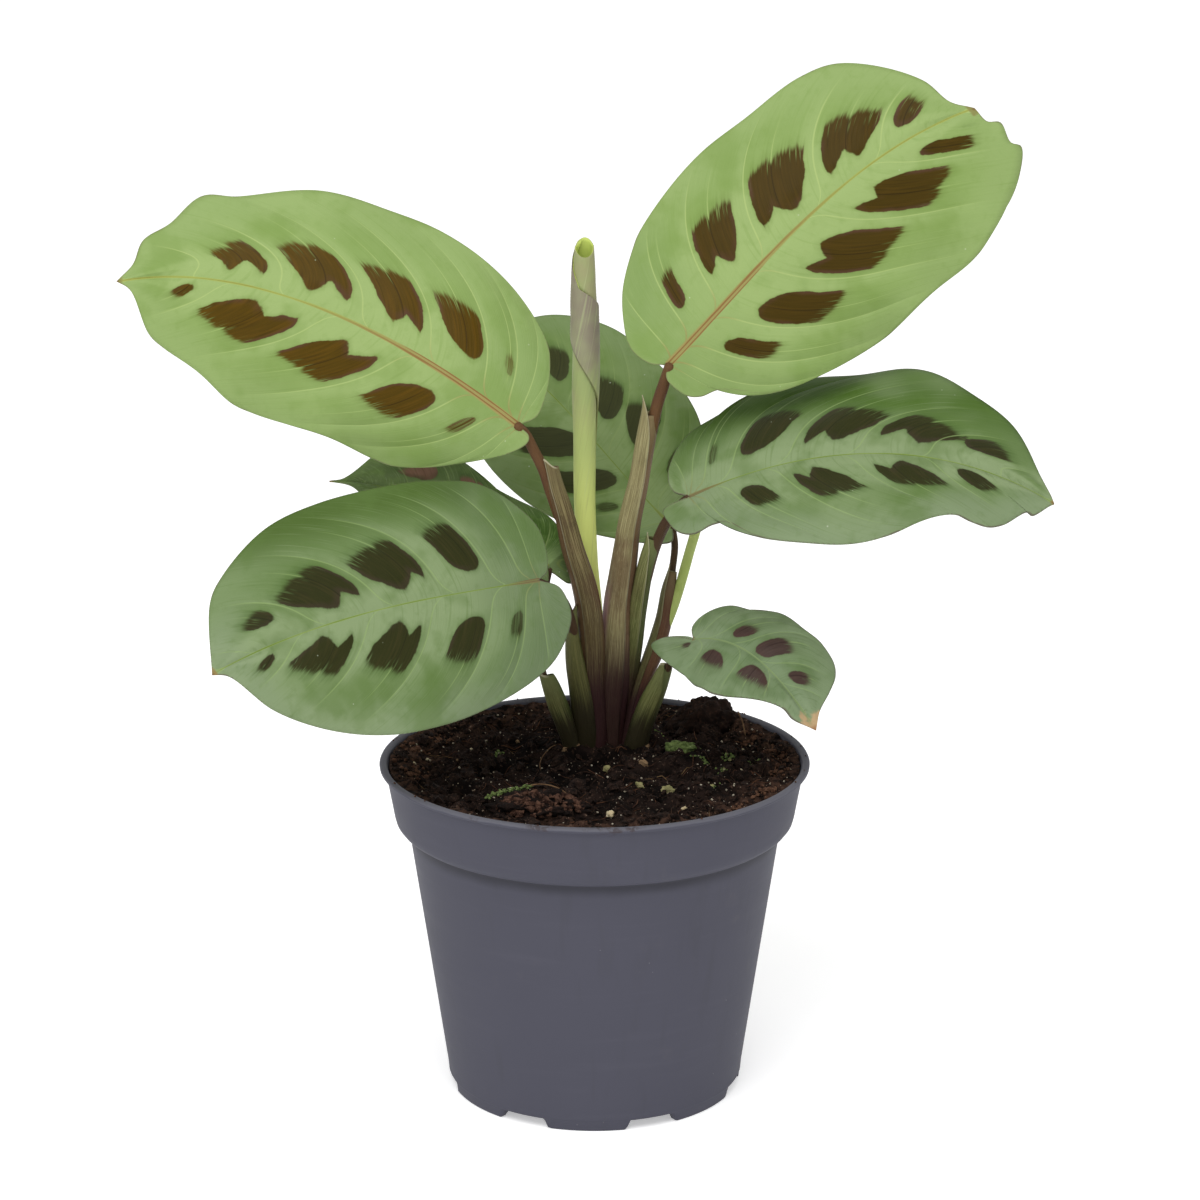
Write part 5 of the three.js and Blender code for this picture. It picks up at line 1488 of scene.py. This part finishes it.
# Place, size and kind of the larger pieces of grit: tan, olive or white.
GRITS = [
    (14.5, 14.2, 1.5, "tan"), (13.6, 0.1, 1.5, "tan"), (3.6, -1.1, 1.4, "olive"), (12.5, -16.7, 1.3, "olive"),
    (19.9, -20.5, 1.9, "olive"), (4.2, -38.0, 1.3, "white"), (24.1, -36.3, 0.95, "white"),
    (19.7, -44.8, 0.9, "tan"), (-1.6, 16.4, 0.5, "white"), (-18.8, 2.9, 0.5, "white"),
    (-50.5, 1.1, 0.55, "white"), (36.3, -3.7, 0.9, "olive"), (42.3, 19.1, 0.6, "white"),
    (-38.5, 8.0, 0.7, "tan"), (-47.0, 6.0, 0.5, "white"), (-8.5, 11.8, 0.9, "tan"), (-5.2, 13.4, 1.0, "tan"),
    (32.0, -15.9, 1.3, "olive"), (-22.0, 24.0, 0.7, "tan"), (41.0, -2.5, 0.5, "white"),
    (-35.0, 15.5, 0.5, "white"), (38.0, 7.0, 0.5, "olive"),
]
GRIT_TONES = {
    "tan": ((124, 98, 74), (156, 130, 98), (88, 66, 50)),
    "olive": ((140, 136, 92), (170, 162, 116), (106, 100, 66)),
    "white": ((206, 186, 144), (228, 214, 180), (150, 130, 94)),
}


def grits():
    draw = random.Random(9)
    for kind, tones in GRIT_TONES.items():
        mesh = bmesh.new()
        for x, y, size, chosen in GRITS:
            squash = (1, draw.uniform(0.6, 0.8), draw.uniform(0.55, 0.8))
            if chosen == kind:
                place = (x, y, soil_height(x, y) + size * 0.35)
                stone(mesh, place, size, squash, draw.uniform(0, 6), 3, 0.6, x)
        material = grain_finish("grit_" + kind, *tones, 500.0)
        finished("grit_" + kind, mesh, [material], merge=None)

    mesh = bmesh.new()
    for x, y, z in scatter(280, draw, 55):
        crumb(mesh, draw, (x, y, z + 0.3), (0.14, 0.46), rough=0.4)
    material = grain_finish("sand_white", (176, 164, 142), (206, 196, 178), (136, 122, 102), 900.0)
    finished("sand_grains", mesh, [material], smooth=False, merge=None)


def thread(mesh, points, radius, sides=4, rows=6):
    """A thin fibre through the points, added to the mesh."""
    route = Route([(*point, radius) for point in points])
    made = bmesh.ops.create_grid(mesh, x_segments=rows, y_segments=sides, size=0.5)["verts"]
    spots = np.array([vertex.co[:2] for vertex in made]) + 0.5
    centre, _, side, other = route.at(spots[:, 0])
    thin = np.minimum(np.minimum(spots[:, 0], 1 - spots[:, 0]) / 0.12, 1)**0.5
    angle = 2 * math.pi * spots[:, 1]
    places = centre + way_out(side, other, angle) * (radius * thin)[:, None]
    for vertex, place in zip(made, places):
        vertex.co = Vector(place) * MM + POT_AXIS


# The number and the three tones of each kind of fibre.
FIBRES = {
    "fibres_red": (130, [(66, 42, 31), (96, 66, 48), (48, 31, 24)]),
    "fibres_dark": (300, [(40, 28, 22), (62, 44, 34), (28, 19, 15)]),
    "straws_pale": (12, [(96, 74, 50), (124, 100, 70), (80, 58, 40)]),
}
# Single root hairs: radius in mm, rows of the mesh, and the places that each runs through.
HAIRS = [
    (0.13, 40, [(-10.6, 12.5, 94.5), (-12.3, 9.2, 94.8), (-14.6, 4.5, 93.6), (-15.3, 0.0, 92.6),
                (-15.0, -2.5, 91.6)]),
    (0.2, 40, [(-20.0, -30.5, 96.0), (-15.0, -31.5, 97.6), (-9.5, -33.5, 97.0), (-4.5, -38.0, 93.8)]),
    (0.22, 30, [(41.0, 30.0, 99.0), (42.2, 26.0, 97.0), (43.0, 22.0, 94.0)]),
]


def fibres():
    draw = random.Random(15)
    for name, (count, tones) in FIBRES.items():
        mesh = bmesh.new()
        for x, y, _ in scatter(count, draw):
            turn = draw.uniform(0, math.pi)
            reach = draw.uniform(1.2, 4.2)
            bend = draw.uniform(-0.8, 0.8)
            points = []
            for step in (-1, -0.4, 0.3, 1):
                px = x + math.cos(turn) * reach * step - math.sin(turn) * bend * step**2
                py = y + math.sin(turn) * reach * step + math.cos(turn) * bend * step**2
                if math.hypot(px, py) > 54:
                    px, py = px * 0.93, py * 0.93
                points.append((px, py, soil_height(px, py) + draw.uniform(0.0, 0.9)))
            thread(mesh, points, draw.uniform(0.07, 0.16))
        finished(name, mesh, [grain_finish(name, *tones, 500.0)], merge=5e-7)

    mesh = bmesh.new()
    for radius, rows, points in HAIRS:
        thread(mesh, points, radius, 8, rows)
    material = grain_finish("root_hair", (92, 68, 48), (120, 94, 68), (70, 48, 34))
    finished("root_hair", mesh, [material], merge=5e-7)


def lump(name, material, node, detail, rough, seed, slump=0.0):
    """A clod: a ball with an uneven surface in the space that its solid holds. slump draws its foot
    out to the left."""
    place, radii = LUMPS[node]
    mesh = bmesh.new()
    bmesh.ops.create_icosphere(mesh, subdivisions=detail, radius=1.0)
    for vertex in mesh.verts:
        x, y, z = vertex.co * 2.2
        push = 1 + rough * wobble(x + seed, y, z) + rough * 0.5 * wobble(x * 3 + seed, y * 3, z * 3)
        push += rough * 0.3 * wobble(x * 7, y * 7 + seed, z * 7)
        shape = Vector(a * b * push for a, b in zip(vertex.co, radii))
        shape.x *= 1 + slump * max(0.0, -vertex.co.x) * (1 - vertex.co.z)
        vertex.co = (shape + Vector(place)) * MM + POT_AXIS
    finished(name, mesh, [material], [node + ("_tuft" if node == "moss" else "_lump")])


def lumps():
    peat = grain_finish("peat", (28, 20, 17), (48, 34, 28), (88, 60, 48), 260.0)
    bark = grain_finish("bark", (16, 11, 9), (32, 22, 18), (62, 43, 34), 420.0)
    moss = grain_finish("moss", (82, 98, 52), (120, 138, 80), (170, 182, 132), 800.0)
    lump("peat_clod", peat, "peat", 5, 0.24, 3.0, slump=0.4)
    lump("bark_clod", bark, "bark", 5, 0.45, 8.0)
    lump("moss_cushion", moss, "moss", 4, 0.5, 5.0)

    chips = grain_finish("bark_chips", (52, 34, 27), (98, 70, 56), (140, 108, 90), 500.0)
    draw = random.Random(21)
    mesh = bmesh.new()
    bark_place, bark_radii = LUMPS["bark"]
    for _ in range(330):
        turn, tilt = draw.uniform(0, 2 * math.pi), math.acos(draw.uniform(0.05, 1))
        way = (math.cos(turn) * math.sin(tilt), math.sin(turn) * math.sin(tilt), math.cos(tilt))
        place = [c + r * w for c, r, w in zip(bark_place, bark_radii, way)]
        squash = (1, draw.uniform(0.4, 0.9), draw.uniform(0.4, 0.9))
        crumb(mesh, draw, place, (0.35, 1.35), squash, 0.8)
    finished("bark_crumbs", mesh, [chips], smooth=False, merge=None)

    mesh = bmesh.new()
    for x, y, spread, count in MOSS_PATCHES:
        for _ in range(count):
            px, py = x + draw.gauss(0, spread * 0.5), y + draw.gauss(0, spread * 0.38)
            rise = 1.5 * math.exp(-((px - 24.2)**2 + (py - 13.5)**2) / 14)
            crumb(mesh, draw, (px, py, soil_height(px, py) + rise + 0.2), (0.25, 0.6), (1, 0.8, 0.8))
    # A streak of moss lies on the bark.
    for _ in range(120):
        share = draw.random()
        px = -29 + 12 * share + draw.gauss(0, 0.35)
        py = -33.5 + 3.0 * share + draw.gauss(0, 0.6)
        height = 94.4 + 2.6 * share**0.6 + draw.uniform(-0.4, 0.3)
        crumb(mesh, draw, (px, py, height), (0.25, 0.55), (1, 0.8, 0.8))
    finished("moss_bits", mesh, [moss], merge=None)


def rhizome():
    """The crown under the soil keeps its solid and gets a root's skin."""
    material = grain_finish("rhizome_skin", (96, 66, 44), (124, 90, 62), (72, 46, 30))
    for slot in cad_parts["rhizome"].material_slots:
        slot.material = material


camera()
studio()
pot()
soil()
crumbs()
grits()
fibres()
lumps()
rhizome()
stems()
rolled_leaf()
for leaf_name in LEAVES:
    leaf(leaf_name)
